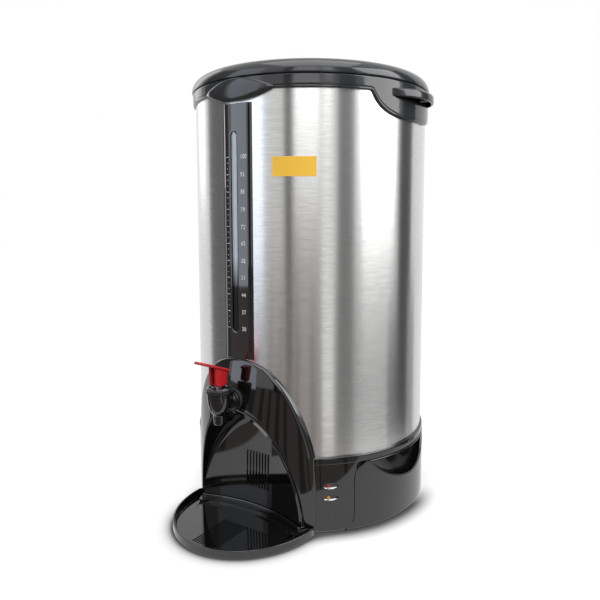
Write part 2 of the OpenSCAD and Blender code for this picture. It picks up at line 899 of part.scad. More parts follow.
module tap_body() {
  color(black) difference() {
    union() {
      translate([0, tap_y, 0]) rotate_extrude() polygon(concat(
        [[0, nozzle_z], [nozzle_r, nozzle_z], [nozzle_r, bowl_z]],
        [for (i = [0:10]) let (z = bowl_z + bowl_depth * i / 10) [bowl(z), z]],
        [[0, barrel_top]]));
      rod_y(shank_r, tap_y, -(tank_in - washer_t - nut_t - shank_end), 0, tap_z);
      rod_y(neck_r, tap_y, washer_face, 0, tap_z);
      rod_y(flange_r, washer_face - flange_t, washer_face, 0, tap_z);
    }
    translate([0, tap_y, nozzle_z - eps]) cylinder(r = outlet_r, h = far);
    translate([0, tap_y, seat_top]) cylinder(r = chamber_r, h = far);
    rod_y(shank_bore, tap_y, 0, 0, tap_z);
  }
}

module tap_bonnet() {
  color(black) translate([0, tap_y, 0]) difference() {
    union() {
      translate([0, 0, barrel_top]) cylinder(r = bonnet_r, h = bonnet_h);
      translate([0, 0, barrel_top - plug_depth]) cylinder(r = chamber_r - running, h = plug_depth + eps);
    }
    translate([0, 0, barrel_top - plug_depth - eps])
      cylinder(r = pocket_r, h = pocket_top - barrel_top + plug_depth + eps);
    translate([0, 0, pocket_top - eps]) cylinder(r = stem_r + running, h = far);
  }
}

module tap_washer() {
  color("#1c1c1c") difference() {
    rod_y(flange_r, washer_face, -(jacket_r + 3), 0, tap_z);
    face_space(0);
    rod_y(shank_r + seam, -far, 0, 0, tap_z);
  }
}

module shank_washer() {
  color("#1c1c1c") difference() {
    rod_y(washer_r, washer_y, washer_y + washer_t, 0, tap_z);
    rod_y(shank_r + running, -far, 0, 0, tap_z);
  }
}

module shank_nut() {
  color("#c9b06a") difference() {
    translate([0, washer_y + washer_t + nut_t, tap_z])
      rotate([90, 0, 0]) cylinder(r = nut_r, h = nut_t, $fn = 6);
    rod_y(shank_r + running, -far, 0, 0, tap_z);
  }
}

module valve_stem() {
  color(steel) translate([0, tap_y, 0]) difference() {
    union() {
      translate([0, 0, stem_foot]) cylinder(r = stem_r, h = tongue_z - stem_foot);
      intersection() {
        translate([0, 0, tongue_z - eps]) cylinder(r = stem_r, h = pin_z + stem_over - tongue_z + eps);
        translate([-tongue_t / 2, -far, 0]) cube([tongue_t, 2 * far, far]);
      }
    }
    rod_x(pin_r + running, -far, far, 0, pin_z);
  }
}

module seat_cup() {
  color("#8a3b32") translate([0, tap_y, 0]) difference() {
    translate([0, 0, seat_top + play / 2]) cylinder(r = chamber_r - 2, h = cup_top - seat_top - play / 2);
    translate([0, 0, stem_foot]) cylinder(r = stem_r + running / 2, h = far);
  }
}

// Coil of round wire about Z
module coil(r, wire, z0, z1, turns) {
  steps = turns * 16;
  sides = 8;
  points = [for (i = [0:steps], j = [0:sides - 1])
    let (a = 360 * turns * i / steps, b = 360 * j / sides, rad = r + wire * cos(b))
    [rad * cos(a), rad * sin(a), z0 + (z1 - z0) * i / steps + wire * sin(b)]];
  skin = [for (i = [0:steps - 1], j = [0:sides - 1])
    let (k = (j + 1) % sides)
    [i * sides + j, (i + 1) * sides + j, (i + 1) * sides + k, i * sides + k]];
  start = [for (j = [0:sides - 1]) j];
  end = [for (j = [sides - 1:-1:0]) steps * sides + j];
  polyhedron(points, concat(skin, [start, end]));
}

module valve_spring() {
  color(steel) translate([0, tap_y, 0])
    coil(spring_r, spring_wire, cup_top + spring_wire + spring_gap,
      pocket_top - spring_wire - spring_gap, spring_turns);
}

// Height of the middle of the lever's paddle at a place along Y
function paddle_mid(y) = paddle_z + (paddle_back - y) * tan(paddle_slope) + paddle_t / 2;

module lever() {
  heel_z = bonnet_top + play;
  cheek = [
    [-heel_half, heel_z], [heel_half - 1, heel_z],
    [heel_half + 2, heel_z + 3], [heel_half + 2, paddle_mid(heel_half + 2)],
    [-heel_half - 1, paddle_mid(-heel_half - 1)], [-heel_half - 1, heel_z + 2]];
  color(red) translate([0, tap_y, 0]) difference() {
    union() {
      for (side = [-1, 1])
        translate([side < 0 ? -cheek_out : slot_half, 0, 0])
          rotate([90, 0, 90]) linear_extrude(height = cheek_t) polygon(cheek);
      translate([0, paddle_back, paddle_z]) rotate([-paddle_slope, 0, 0]) {
        translate([-paddle_w / 2, paddle_w / 2 - paddle_len, 0])
          cube([paddle_w, paddle_len - paddle_w / 2, paddle_t]);
        translate([0, paddle_w / 2 - paddle_len, 0]) cylinder(r = paddle_w / 2, h = paddle_t);
      }
    }
    rod_x(pin_r + running / 2, -far, far, 0, pin_z);
  }
}

module lever_pin() {
  color(steel) rod_x(pin_r, -cheek_out, cheek_out, tap_y, pin_z);
}

module heating_element() {
  color("#7d7f82") ring(element_r[1], element_r[0], floor_under - element_t, floor_under);
}

module thermostat() {
  color("#d9d5c9") translate([thermostat_place[0], thermostat_place[1], floor_under - thermostat_size[1]])
    cylinder(r = thermostat_size[0], h = thermostat_size[1]);
}

module thermal_fuse() {
  color("#d9d5c9") translate([fuse_place[0], fuse_place[1], floor_under - fuse_size[1]])
    cylinder(r = fuse_size[0], h = fuse_size[1]);
}

module terminal_block() {
  color("#e6e2d6") translate([block_place[0], block_place[1], plate_top]) difference() {
    cube(block_size);
    for (i = [-1:1])
      translate([block_size[0] / 2 + block_pitch * i, block_size[1] / 2, block_size[2] / 2])
        cylinder(r = block_hole_r, h = far);
  }
}

module lamp_bezels() {
  color("#55565a") for (z = [lamp_z, lamp_z - lamp_pitch])
    rotate([0, 0, lamp_angle]) difference() {
      intersection() {
        eye(0, z);
        ring(bezel_r, inner_wall_r - bezel_lip, 0, far);
      }
      rod_y(lamp_r + running, -far, 0, 0, z);
    }
}

// Lamp at a height, pointing out of the base
module lamp(z) {
  rotate([0, 0, lamp_angle]) {
    rod_y(lamp_r, -bezel_r - lamp_out, -inner_wall_r + lamp_flange[1], 0, z);
    rod_y(lamp_r + 1, -inner_wall_r + lamp_flange[0], -inner_wall_r + lamp_flange[1], 0, z);
  }
}

module heat_lamp() {
  color("#e02020") lamp(lamp_z);
}

module ready_lamp() {
  color("#f0a020") lamp(lamp_z - lamp_pitch);
}

module cord_gland() {
  color("#1c1c1c") difference() {
    union() {
      rod_y(gland_body_r, gland_y[0], cover_r, 0, gland_z);
      rod_y(gland_flange_r, cover_r, gland_y[1], 0, gland_z);
    }
    rod_y(gland_bore, gland_y[0] - eps, gland_y[1] + eps, 0, gland_z);
  }
}

// Rounded front of the tray, an ellipse about its own centre
function tray_points(half, reach) =
  [for (i = [0:71]) [half * cos(5 * i), tray_y + reach * sin(5 * i)]];

// Outline of the tray, taken in by a margin: it fills the niche in front of the back wall
// and runs on beside it under the legs
module tray_plan(margin) {
  tongue_half = roof_half + tray_play - margin;
  intersection() {
    translate([0, 0, -eps]) linear_extrude(height = tray_h + 3 * eps)
      polygon(tray_points(tray_half - margin, tray_reach - margin));
    union() {
      intersection() {
        back_space(-tray_play - margin);
        translate([-tongue_half, -far, -2 * eps]) cube([2 * tongue_half, far, far]);
      }
      difference() {
        translate([-far, -far, -eps]) cube([2 * far, far, far]);
        translate([0, 0, -2 * eps]) cylinder(r = band_r + tray_play + margin, h = far);
        translate([-tongue_half, -far, -2 * eps]) cube([2 * tongue_half, far, 2 * far]);
      }
    }
  }
}

module drip_tray() {
  color(black) {
    difference() {
      intersection() {
        tray_plan(0);
        translate([-far, -far, 0]) cube([2 * far, far, tray_h]);
      }
      intersection() {
        tray_plan(tray_wall);
        back_space(-2 * tray_step);
        translate([-far, -far, tray_floor]) cube([2 * far, far, far]);
      }
      intersection() {
        tray_plan(tray_wall);
        back_space(-tray_step);
        translate([-far, -far, tray_h - tray_shelf]) cube([2 * far, far, far]);
      }
    }
    for (i = [0:rib_count - 1])
      translate([
        -tray_rib_span / 2 + tray_rib_span * i / (rib_count - 1) - tray_rib[0] / 2,
        tray_y - tray_reach + tray_rib_inset,
        tray_floor - tray_rib_sink])
        cube(tray_rib);
  }
}

// Heights of the lid's dome and of its inside
function dome(r) = dome_z + lid_dome * (1 - pow(r / shoulder_r, 2));

module lid_shell() {
  outer = concat(
    [[lid_r, lid_z]],
    [for (i = [0:10]) [shoulder_r + lid_round * cos(9 * i), shoulder_z + lid_round * sin(9 * i)]],
    [for (i = [9:-1:0]) [shoulder_r * i / 10, dome(shoulder_r * i / 10)]]);
  hollow = lid_round - lid_wall;
  inner = concat(
    [for (i = [0:9]) [shoulder_r * i / 10, dome(shoulder_r * i / 10) - lid_wall]],
    [for (i = [10:-1:0]) [shoulder_r + hollow * cos(9 * i), shoulder_z + hollow * sin(9 * i)]],
    [[lid_r - lid_wall, lid_z]]);
  color(charcoal) difference() {
    union() {
      rotate_extrude() polygon(concat(outer, inner));
      translate([0, 0, liner_z + sheet_t]) cylinder(r = post_r, h = dome_top - 1 - liner_z - sheet_t);
    }
    translate([0, 0, liner_z - eps]) cylinder(r = knob_screw_r + seam, h = far);
  }
}

module lid_liner() {
  color(steel) difference() {
    rotate_extrude() polygon([
      [0, liner_z], [liner_r, liner_z], [liner_r, liner_flange_z],
      [liner_flange_r, liner_flange_z], [liner_flange_r, liner_flange_z + sheet_t],
      [liner_r - sheet_t, liner_flange_z + sheet_t], [liner_r - sheet_t, liner_z + sheet_t],
      [0, liner_z + sheet_t]]);
    translate([0, 0, liner_z - eps]) cylinder(r = knob_screw_r + seam, h = 2 * eps + sheet_t);
  }
}

module lid_gasket() {
  color("#3b3b3b") ring(tank_in - play, liner_r, liner_z + gasket_z[0], liner_z + gasket_z[1]);
}

module lid_knob() {
  color(charcoal) difference() {
    translate([0, 0, dome_top]) rotate_extrude() polygon([
      [0, 0], [knob_r - 6, 0], [knob_r - 9, 5], [knob_r - 3, 8], [knob_r, 11],
      [knob_r - 1, knob_h - 3], [knob_r - 5, knob_h - 0.6], [0, knob_h]]);
    translate([0, 0, dome_top - eps])
      cylinder(r = knob_screw_r + running, h = knob_h - knob_bite + screw_bottom);
  }
}

module knob_screw() {
  color(steel) {
    translate([0, 0, liner_z - screw_head_t]) cylinder(r = 2 * knob_screw_r, h = screw_head_t);
    translate([0, 0, liner_z - eps])
      cylinder(r = knob_screw_r, h = dome_top - liner_z + knob_h - knob_bite);
  }
}

module pump_tube() {
  color(steel) difference() {
    union() {
      translate([0, 0, well_floor + play]) rotate_extrude() polygon([
        [0, 0], [pump_foot_r, 0], [pump_foot_r, pump_foot_t], [pump_r + pump_flare, pump_cone_z[0]],
        [pump_r, pump_cone_z[1]], [0, pump_cone_z[1]]]);
      translate([0, 0, well_floor + 10]) cylinder(r = pump_r, h = pump_top - well_floor - 10);
      translate([0, 0, basket_z - stop_t]) cylinder(r = pump_r + 3, h = stop_t);
    }
    translate([0, 0, well_floor - eps]) cylinder(r = pump_bore, h = far);
  }
}

// Rings of drain holes through a disc at a height
module drain_holes(z, rings) {
  for (r = rings, i = [0:drain_count - 1])
    rotate([0, 0, 360 * i / drain_count]) translate([r, 0, z - eps]) cylinder(r = drain_r, h = 3 * eps);
}

module filter_basket() {
  color(steel) difference() {
    rotate_extrude() polygon([
      [sleeve_r, basket_z], [basket_r, basket_z], [basket_r, basket_z + basket_h],
      [basket_r + basket_lip, basket_z + basket_h], [basket_r + basket_lip, spreader_z],
      [basket_r - basket_sheet, spreader_z], [basket_r - basket_sheet, basket_z + basket_sheet],
      [sleeve_r + basket_sheet, basket_z + basket_sheet], [sleeve_r + basket_sheet, basket_z + sleeve_h],
      [sleeve_r, basket_z + sleeve_h]]);
    drain_holes(basket_z, [basket_r * 0.3, basket_r * 0.55, basket_r * 0.8]);
  }
}

module basket_spreader() {
  color(steel) difference() {
    ring(basket_r + basket_lip - 1, sleeve_r + 0.5, spreader_z, spreader_z + basket_sheet);
    drain_holes(spreader_z, [basket_r * 0.4, basket_r * 0.7]);
  }
}

base_ring();
base_walls();
side_covers();
rear_cover();
grip_cups();
base_plate();
rubber_feet();
base_screws();
outer_jacket();
inner_tank();
tank_pillar();
tank_stud();
stud_nut();
front_apron();
front_legs();
niche_panel();
gauge_strip();
gauge_window();
sight_tube();
sight_socket();
sight_seal();
sight_cap();
top_collar();
handle_right();
handle_left();
handle_screws();
badge_plate();
care_label();
tap_body();
tap_bonnet();
tap_washer();
shank_washer();
shank_nut();
valve_stem();
seat_cup();
valve_spring();
lever();
lever_pin();
heating_element();
thermostat();
thermal_fuse();
terminal_block();
lamp_bezels();
heat_lamp();
ready_lamp();
cord_gland();
drip_tray();
lid_shell();
lid_liner();
lid_gasket();
lid_knob();
knob_screw();
pump_tube();
filter_basket();
basket_spreader();
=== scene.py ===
import json
import math

import bmesh
import bpy
from mathutils import Matrix, Vector


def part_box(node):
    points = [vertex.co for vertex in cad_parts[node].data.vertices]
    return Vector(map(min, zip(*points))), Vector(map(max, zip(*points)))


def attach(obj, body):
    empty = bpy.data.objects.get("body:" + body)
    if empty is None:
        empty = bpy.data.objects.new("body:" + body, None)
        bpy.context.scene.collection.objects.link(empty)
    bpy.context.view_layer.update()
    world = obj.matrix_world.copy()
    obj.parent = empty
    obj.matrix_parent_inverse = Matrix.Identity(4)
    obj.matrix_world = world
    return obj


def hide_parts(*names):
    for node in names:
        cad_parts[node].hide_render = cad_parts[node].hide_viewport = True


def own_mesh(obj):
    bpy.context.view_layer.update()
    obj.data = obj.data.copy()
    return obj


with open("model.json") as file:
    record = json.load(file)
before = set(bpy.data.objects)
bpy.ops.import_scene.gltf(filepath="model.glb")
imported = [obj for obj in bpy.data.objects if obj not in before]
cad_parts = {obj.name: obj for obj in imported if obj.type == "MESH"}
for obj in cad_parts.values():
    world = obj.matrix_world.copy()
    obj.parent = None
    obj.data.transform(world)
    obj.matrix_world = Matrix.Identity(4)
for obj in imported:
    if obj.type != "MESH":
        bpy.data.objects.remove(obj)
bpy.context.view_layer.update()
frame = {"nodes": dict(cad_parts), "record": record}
mm = 0.001  # pieces are modelled in millimetres and scaled to metres when finished
bpy.context.scene.view_settings.view_transform = "Standard"
print("frame loaded,", len(frame["nodes"]), "nodes")


def boxOf(node):
    low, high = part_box(node)
    return low / mm, high / mm


jacketLow, jacketHigh = boxOf("outer_jacket")
collarHigh = boxOf("top_collar")[1]
lidLow, lidHigh = boxOf("lid_shell")
apronLow, apronHigh = boxOf("front_apron")
legLow, legHigh = boxOf("front_legs")
nicheLow, nicheHigh = boxOf("niche_panel")
stripLow, stripHigh = boxOf("gauge_strip")
trayLow, trayHigh = boxOf("drip_tray")
ringHigh = boxOf("base_ring")[1]
coverLow, coverHigh = boxOf("side_covers")
bonnetLow, bonnetHigh = boxOf("tap_bonnet")
tapLow, tapHigh = boxOf("tap_body")
handleLow, handleHigh = boxOf("handle_right")
badgeLow, badgeHigh = boxOf("badge_plate")
labelLow, labelHigh = boxOf("care_label")


def cosOf(degrees):
    return math.cos(math.radians(degrees))


def sinOf(degrees):
    return math.sin(math.radians(degrees))


def turnOf(ratio):  # the angle in degrees with this sine
    return math.degrees(math.asin(ratio))


jacketR = jacketHigh.x
collarR = collarHigh.x
collarTop = collarHigh.z


# materials

def startMaterial(name):
    material = bpy.data.materials.new(name)
    material.use_nodes = True
    tree = material.node_tree
    return material, tree, tree.nodes["Principled BSDF"]


def feed(tree, node, inputs):  # a socket is linked, anything else is a plain value
    for name, value in inputs.items():
        if isinstance(value, bpy.types.NodeSocket):
            tree.links.new(value, node.inputs[name])
        else:
            node.inputs[name].default_value = value


def nodeOn(tree, kind, inputs, **settings):
    node = tree.nodes.new("ShaderNode" + kind)
    for name, value in settings.items():
        setattr(node, name, value)
    feed(tree, node, inputs)
    return node.outputs


def mathOn(tree, operation, *values):
    return nodeOn(tree, "Math", dict(enumerate(values)), operation=operation)["Value"]


def rangeOn(tree, value, source, target=(0, 1), kind="LINEAR"):
    ends = dict(zip(("From Min", "From Max", "To Min", "To Max"), source + target))
    return nodeOn(tree, "MapRange", {"Value": value, **ends}, interpolation_type=kind)["Result"]


def noiseOn(tree, scale, stretch=(1, 1, 1), detail=3.0):
    coords = nodeOn(tree, "TexCoord", {})
    mapping = nodeOn(tree, "Mapping", {"Scale": stretch, "Vector": coords["Object"]})
    return nodeOn(tree, "TexNoise", {"Scale": scale, "Detail": detail, "Vector": mapping["Vector"]})["Fac"]


noiseSpan = (0.3, 0.7)  # where most of a noise's values lie
acrylicIor = 1.49


def toneFrom(tree, shader, factor, dark, light):
    ramp = tree.nodes.new("ShaderNodeValToRGB")
    for stop, place, tone in zip(ramp.color_ramp.elements, noiseSpan, (dark, light)):
        stop.position = place
        stop.color = (*tone, 1)
    feed(tree, ramp, {"Fac": factor})
    feed(tree, shader, {"Base Color": ramp.outputs["Color"]})


def roughFrom(tree, shader, factor, low, high):
    feed(tree, shader, {"Roughness": rangeOn(tree, factor, noiseSpan, (low, high))})


def bumpFrom(tree, shader, factor, strength, distance):
    bump = nodeOn(tree, "Bump", {"Strength": strength, "Distance": distance, "Height": factor})
    feed(tree, shader, {"Normal": bump["Normal"]})


def mouldedPlastic(name, dark, light, rough, grain=900, bump=0.04, level=0.5):
    material, tree, shader = startMaterial(name)
    toneFrom(tree, shader, noiseOn(tree, 60), dark, light)  # slow drift of the pigment
    roughFrom(tree, shader, noiseOn(tree, 240, (1, 1, 0.4)), *rough)  # handling marks
    bumpFrom(tree, shader, noiseOn(tree, grain, detail=2), bump, 0.0002)  # moulding grain
    feed(tree, shader, {"Specular IOR Level": level})
    return material


def drawnMetal(name, dark, light, rough, stretch, bump=0.03, aniso=0.0, turn=0.0, grain=None):
    material, tree, shader = startMaterial(name)
    brush = noiseOn(tree, 1.0, stretch, detail=4)
    toneFrom(tree, shader, noiseOn(tree, 1.0, grain, detail=4) if grain else brush, dark, light)
    roughFrom(tree, shader, brush, *rough)
    bumpFrom(tree, shader, brush, bump, 0.0001)
    feed(tree, shader, {"Metallic": 1})
    if aniso:
        tangent = nodeOn(tree, "Tangent", {}, direction_type="RADIAL", axis="Z")["Tangent"]
        feed(tree, shader, {"Tangent": tangent, "Anisotropic": aniso, "Anisotropic Rotation": turn})
    return material


def clearPlastic(name, tint, rough):
    material, tree, shader = startMaterial(name)
    toneFrom(tree, shader, noiseOn(tree, 40), tint, tuple(0.94 * c for c in tint))
    roughFrom(tree, shader, noiseOn(tree, 300, (1, 1, 0.1)), *rough)
    feed(tree, shader, {"Transmission Weight": 1, "IOR": acrylicIor})
    return material


def gaugeGlass(name, darkBelow, paintedHighlight, highlightFade):  # dark below and pale above: the pale upper tone is a painted highlight of a bright window, fading out downwards
    material, tree, shader = startMaterial(name)
    coords = nodeOn(tree, "TexCoord", {})
    height = nodeOn(tree, "SeparateXYZ", {"Vector": coords["Object"]})["Z"]
    toneFrom(tree, shader, rangeOn(tree, height, highlightFade), darkBelow, paintedHighlight)
    roughFrom(tree, shader, noiseOn(tree, 300, (1, 1, 0.1)), 0.03, 0.07)
    feed(tree, shader, {"Transmission Weight": 0.35, "IOR": acrylicIor})
    return material


finish = {
    "black_plastic": mouldedPlastic(
        "glossBlack", (0.0028, 0.0028, 0.003), (0.004, 0.004, 0.0043), (0.035, 0.075), bump=0.015, level=0.8),
    "charcoal_plastic": mouldedPlastic(
        "glossCharcoal", (0.026, 0.027, 0.031), (0.034, 0.035, 0.039), (0.08, 0.14), bump=0.02),
    "brushed_jacket": drawnMetal(
        "brushedJacket", (0.565, 0.565, 0.56), (0.645, 0.645, 0.64), (0.23, 0.27), (9, 9, 2400), 0.008,
        aniso=0.85, turn=0.25, grain=(70, 70, 700)),
    "tank_steel": drawnMetal(
        "drawnTank", (0.58, 0.58, 0.58), (0.68, 0.68, 0.67), (0.22, 0.34), (30, 30, 700), 0.04),
    "zinc_steel": drawnMetal(
        "zincPlate", (0.52, 0.52, 0.5), (0.64, 0.64, 0.61), (0.28, 0.42), (300, 300, 300), 0.05),
    "gauge_black": mouldedPlastic(
        "gaugeBlack", (0.006, 0.006, 0.007), (0.01, 0.01, 0.012), (0.03, 0.06), bump=0.01, level=1.0),
    # the gauge window's pale upper tone is a painted highlight
    "clear_window": gaugeGlass("gaugeGlass", (0.012, 0.01, 0.009), (0.66, 0.74, 0.82), (0.245, 0.33)),
    "clear_tube": clearPlastic("clearTube", (0.92, 0.95, 0.96), (0.03, 0.06)),
    "white_nylon": mouldedPlastic(
        "whiteNylon", (0.66, 0.64, 0.58), (0.76, 0.74, 0.69), (0.35, 0.5), bump=0.06),
    "red_silicone": mouldedPlastic(
        "redSilicone", (0.3, 0.08, 0.06), (0.38, 0.11, 0.085), (0.5, 0.65), bump=0.08),
    "black_rubber": mouldedPlastic(
        "blackRubber", (0.014, 0.014, 0.014), (0.024, 0.024, 0.024), (0.6, 0.8), 1400, 0.15),
    "brass": drawnMetal(
        "turnedBrass", (0.62, 0.46, 0.2), (0.75, 0.58, 0.3), (0.2, 0.34), (400, 60, 400), 0.05),
    "red_lever": mouldedPlastic(
        "redLever", (0.4, 0.008, 0.013), (0.48, 0.012, 0.018), (0.14, 0.24), bump=0.05),
    "element_metal": drawnMetal(
        "heatedSheath", (0.24, 0.24, 0.25), (0.36, 0.35, 0.34), (0.4, 0.6), (200, 200, 200), 0.1),
    "bezel_plastic": drawnMetal(
        "lampBezel", (0.4, 0.4, 0.4), (0.5, 0.5, 0.5), (0.16, 0.26), (300, 300, 300), 0.03),
    "red_lens": mouldedPlastic("redLens", (0.36, 0.008, 0.008), (0.46, 0.014, 0.012), (0.05, 0.1), bump=0.01),
    "amber_lens": mouldedPlastic("amberLens", (0.5, 0.2, 0.012), (0.6, 0.27, 0.02), (0.05, 0.1), bump=0.01),
    "yellow_label": mouldedPlastic(
        "yellowLabel", (0.93, 0.54, 0.045), (0.97, 0.58, 0.06), (0.4, 0.5), 1200, 0.03, 0.3),
}
recessBlack = mouldedPlastic("recessBlack", (0.003, 0.0028, 0.0027), (0.0045, 0.004, 0.004), (0.12, 0.2),
                             bump=0.01, level=0.12)
whitePrint = mouldedPlastic("whitePrint", (0.9, 0.9, 0.91), (0.96, 0.96, 0.97), (0.4, 0.55), 1500, 0.05, 0.3)
slotOf = {part["node"]: part["material_slot"] for part in frame["record"]["subparts"]}
for name, node in frame["nodes"].items():
    node.data.materials.clear()
    node.data.materials.append(finish[slotOf[name]])
print("materials ready,", len(bpy.data.materials))


# modelling helpers

def loft(rings, wrap=True, caps=True):
    count = len(rings[0])
    columns = len(rings) - 1
    rows = count if wrap else count - 1
    bm = bmesh.new()
    bmesh.ops.create_grid(bm, x_segments=columns, y_segments=rows, size=0.5)
    for v in bm.verts:
        v.co = rings[round((v.co.x + 0.5) * columns)][round((v.co.y + 0.5) * rows) % count]
    bmesh.ops.remove_doubles(bm, verts=bm.verts, dist=1e-4)
    if caps:
        bmesh.ops.holes_fill(bm, edges=[e for e in bm.edges if e.is_boundary], sides=0)
    bmesh.ops.recalc_face_normals(bm, faces=bm.faces)
    return bm


def turned(profile, count, axis=(0, 0, 1), centre=(0, 0, 0)):
    bm = bmesh.new()
    verts = [bm.verts.new(p) for p in profile]
    edges = [bm.edges.new(pair) for pair in zip(verts, verts[1:])]
    edges.append(bm.edges.new((verts[-1], verts[0])))
    bmesh.ops.spin(bm, geom=verts + edges, axis=axis, cent=centre, dvec=(0, 0, 0),
                   angle=2 * math.pi, steps=count, use_merge=True)
    bmesh.ops.remove_doubles(bm, verts=bm.verts, dist=1e-4)
    bmesh.ops.recalc_face_normals(bm, faces=bm.faces)
    return bm


def turnedAcross(profile, count, height):  # round an axis that runs to the back at that height
    return turned([(r, y, height) for r, y in profile], count, axis=(0, 1, 0), centre=(0, 0, height))


def slab(outline, along, bevel, segments=3):
    bm = bmesh.new()
    face = bm.faces.new([bm.verts.new(p) for p in outline])
    pushed = bmesh.ops.extrude_face_region(bm, geom=[face])
    moved = [g for g in pushed["geom"] if isinstance(g, bmesh.types.BMVert)]
    bmesh.ops.translate(bm, vec=along, verts=moved)
    bmesh.ops.recalc_face_normals(bm, faces=bm.faces)
    if bevel:
        rims = [e for e in bm.edges if e.calc_face_angle(0) > 0.5]
        bmesh.ops.bevel(bm, geom=rims, offset=bevel, offset_type="OFFSET", segments=segments,
                        affect="EDGES", profile=0.5, material=-1, clamp_overlap=True)
    return bm


def addTo(bm, other):
    mesh = bpy.data.meshes.new("joined")
    other.to_mesh(mesh)
    other.free()
    bm.from_mesh(mesh)
    bpy.data.meshes.remove(mesh)


def finishPiece(name, bm, *nodes, body="urn", slotName=None, material=None, sharp=38):
    slotName = slotName or slotOf[nodes[0]]
    bmesh.ops.scale(bm, vec=(mm, mm, mm), verts=bm.verts)
    mesh = bpy.data.meshes.new(name)
    bm.to_mesh(mesh)
    bm.free()
    mesh.shade_smooth()
    mesh.set_sharp_from_angle(angle=math.radians(sharp))
    mesh.materials.append(material or finish[slotName])
    piece = bpy.data.objects.new(name, mesh)
    bpy.context.scene.collection.objects.link(piece)
    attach(piece, body)
    if nodes:
        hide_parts(*nodes)
    return piece


def around(radius, angle, height):  # angle in degrees from the front, towards +X
    return Vector((radius * sinOf(angle), -radius * cosOf(angle), height))


def steps(start, end, count):
    return [start + (end - start) * i / count for i in range(count + 1)]


def chord(radius, side):  # how far out a circle lies at that distance from its middle line
    return math.sqrt(radius ** 2 - side * side)


def ribPlaces(piece):
    return [piece["ribSpan"] * (i / (piece["ribCount"] - 1) - 0.5) for i in range(piece["ribCount"])]


def eased(t):
    t = min(1, max(0, t))
    return t * t * (3 - 2 * t)


# steel jacket: a thin rolled sheet, open at the niche and behind the gauge's slot

jacket = {"sheet": 0.8, "slotHalf": 7.0, "slotX": -3.1, "slotLow": 219, "slotHigh": 442}
archHalf, archRise = nicheHigh.x + 0.3, nicheHigh.z + 0.3


def jacketFoot(angle):
    x = abs(jacketR * sinOf(angle))
    if abs(angle) > 90 or x >= archHalf:
        return jacketLow.z
    return max(jacketLow.z, archRise * math.sqrt(1 - (x / archHalf) ** 2))


def jacketRing(angle):
    foot = jacketFoot(angle)
    levels = [foot, (foot + jacket["slotLow"]) / 2, jacket["slotLow"], jacket["slotHigh"], jacketHigh.z]
    outer = [around(jacketR, angle, z) for z in levels]
    return outer + [around(jacketR - jacket["sheet"], angle, z) for z in reversed(levels)]


def inSlot(p):
    return (jacket["slotLow"] < p.z < jacket["slotHigh"] and abs(p.x - jacket["slotX"]) < jacket["slotHalf"]
            and p.y < 0)


slotAngles = [turnOf((jacket["slotX"] + s * jacket["slotHalf"]) / jacketR) for s in (-1, 1)]
jacketAngles = sorted(set(steps(-180, 180, 240) + slotAngles))
bm = loft([jacketRing(a) for a in jacketAngles], caps=False)
opening = [f for f in bm.faces if inSlot(f.calc_center_median())]
bmesh.ops.delete(bm, geom=opening, context="FACES")
finishPiece("steelJacket", bm, "outer_jacket")

label = {"thick": 0.22, "glue": 0.02, "edge": 0.1}
labelSection = [(label["glue"], labelLow.z), (label["thick"], labelLow.z + label["edge"]),
                (label["thick"], labelHigh.z - label["edge"]), (label["glue"], labelHigh.z)]
bm = loft([[around(jacketR + r, a, z) for r, z in labelSection]
           for a in steps(turnOf(labelLow.x / jacketR), turnOf(labelHigh.x / jacketR), 24)])
finishPiece("careLabel", bm, "care_label")
print("jacket and label done")


# lid, knob, collar with its ears, handles and badge

lidShape = {"wall": 2.5, "round": 17.0, "dome": 7.0, "postR": 8, "postBore": 3}
lidBase = collarTop + 0.3
lidR = lidHigh.x
shoulder = lidR - lidShape["round"]


def lidDome(r, drop=0.0):
    return lidBase + 0.5 + lidShape["round"] + lidShape["dome"] * (1 - (r / shoulder) ** 2) - drop


lidOuter = [(lidR - 2.4, lidBase), (lidR - 1.0, lidBase), (lidR - 0.3, lidBase + 0.35), (lidR, lidBase + 1.1)]
lidOuter += [(shoulder + lidShape["round"] * cosOf(a),
              lidBase + 1.1 + (lidShape["round"] - 0.6) * sinOf(a)) for a in steps(4, 90, 24)]
lidOuter += [(r, lidDome(r)) for r in steps(shoulder * 0.97, 0, 30)]
hollow = lidShape["round"] - lidShape["wall"]
lidInner = [(r, lidDome(r, lidShape["wall"])) for r in steps(0, shoulder, 16)]
lidInner += [(shoulder + hollow * cosOf(a), lidBase + 0.5 + hollow * sinOf(a))
             for a in steps(84, 0, 10)]
bm = turned([(r, 0, z) for r, z in lidOuter + lidInner], 180)
postIn, postOut, postTop = lidShape["postBore"], lidShape["postR"], lidDome(0) - 1
post = [(postIn, lidLow.z), (postOut, lidLow.z), (postOut, postTop), (postIn, postTop)]
addTo(bm, turned([(r, 0, z) for r, z in post], 40))
finishPiece("lidShell", bm, "lid_shell", body="lid")

knobLow, knobHigh = boxOf("lid_knob")
knobR = knobHigh.x
knobH = knobHigh.z - knobLow.z
knobProfile = [(2.6, 0), (knobR - 7, 0), (knobR - 8.2, 1.2), (knobR - 8.8, 3.6), (knobR - 7.6, 6.2),
               (knobR - 4.4, 8.2), (knobR - 1.4, 9.6), (knobR - 0.3, 11), (knobR, 12.4), (knobR - 0.4, 14),
               (knobR - 1.8, 15.6), (knobR - 4.4, 16.8), (knobR - 9, 17.6), (4, knobH), (0, knobH), (0, 12),
               (2.6, 12)]
bm = turned([(r, 0, knobLow.z + z) for r, z in knobProfile], 96)
finishPiece("lidKnob", bm, "lid_knob", body="lid")

collar = {"skirt": 481.7, "earLow": 455.0, "earHalf": 72.0, "earFlat": 20.0, "bead": 3.2, "rimIn": 143.8,
          "deckTop": 492.8, "deckLow": 489.9, "deckIn": 133.0, "soft": 2.0}


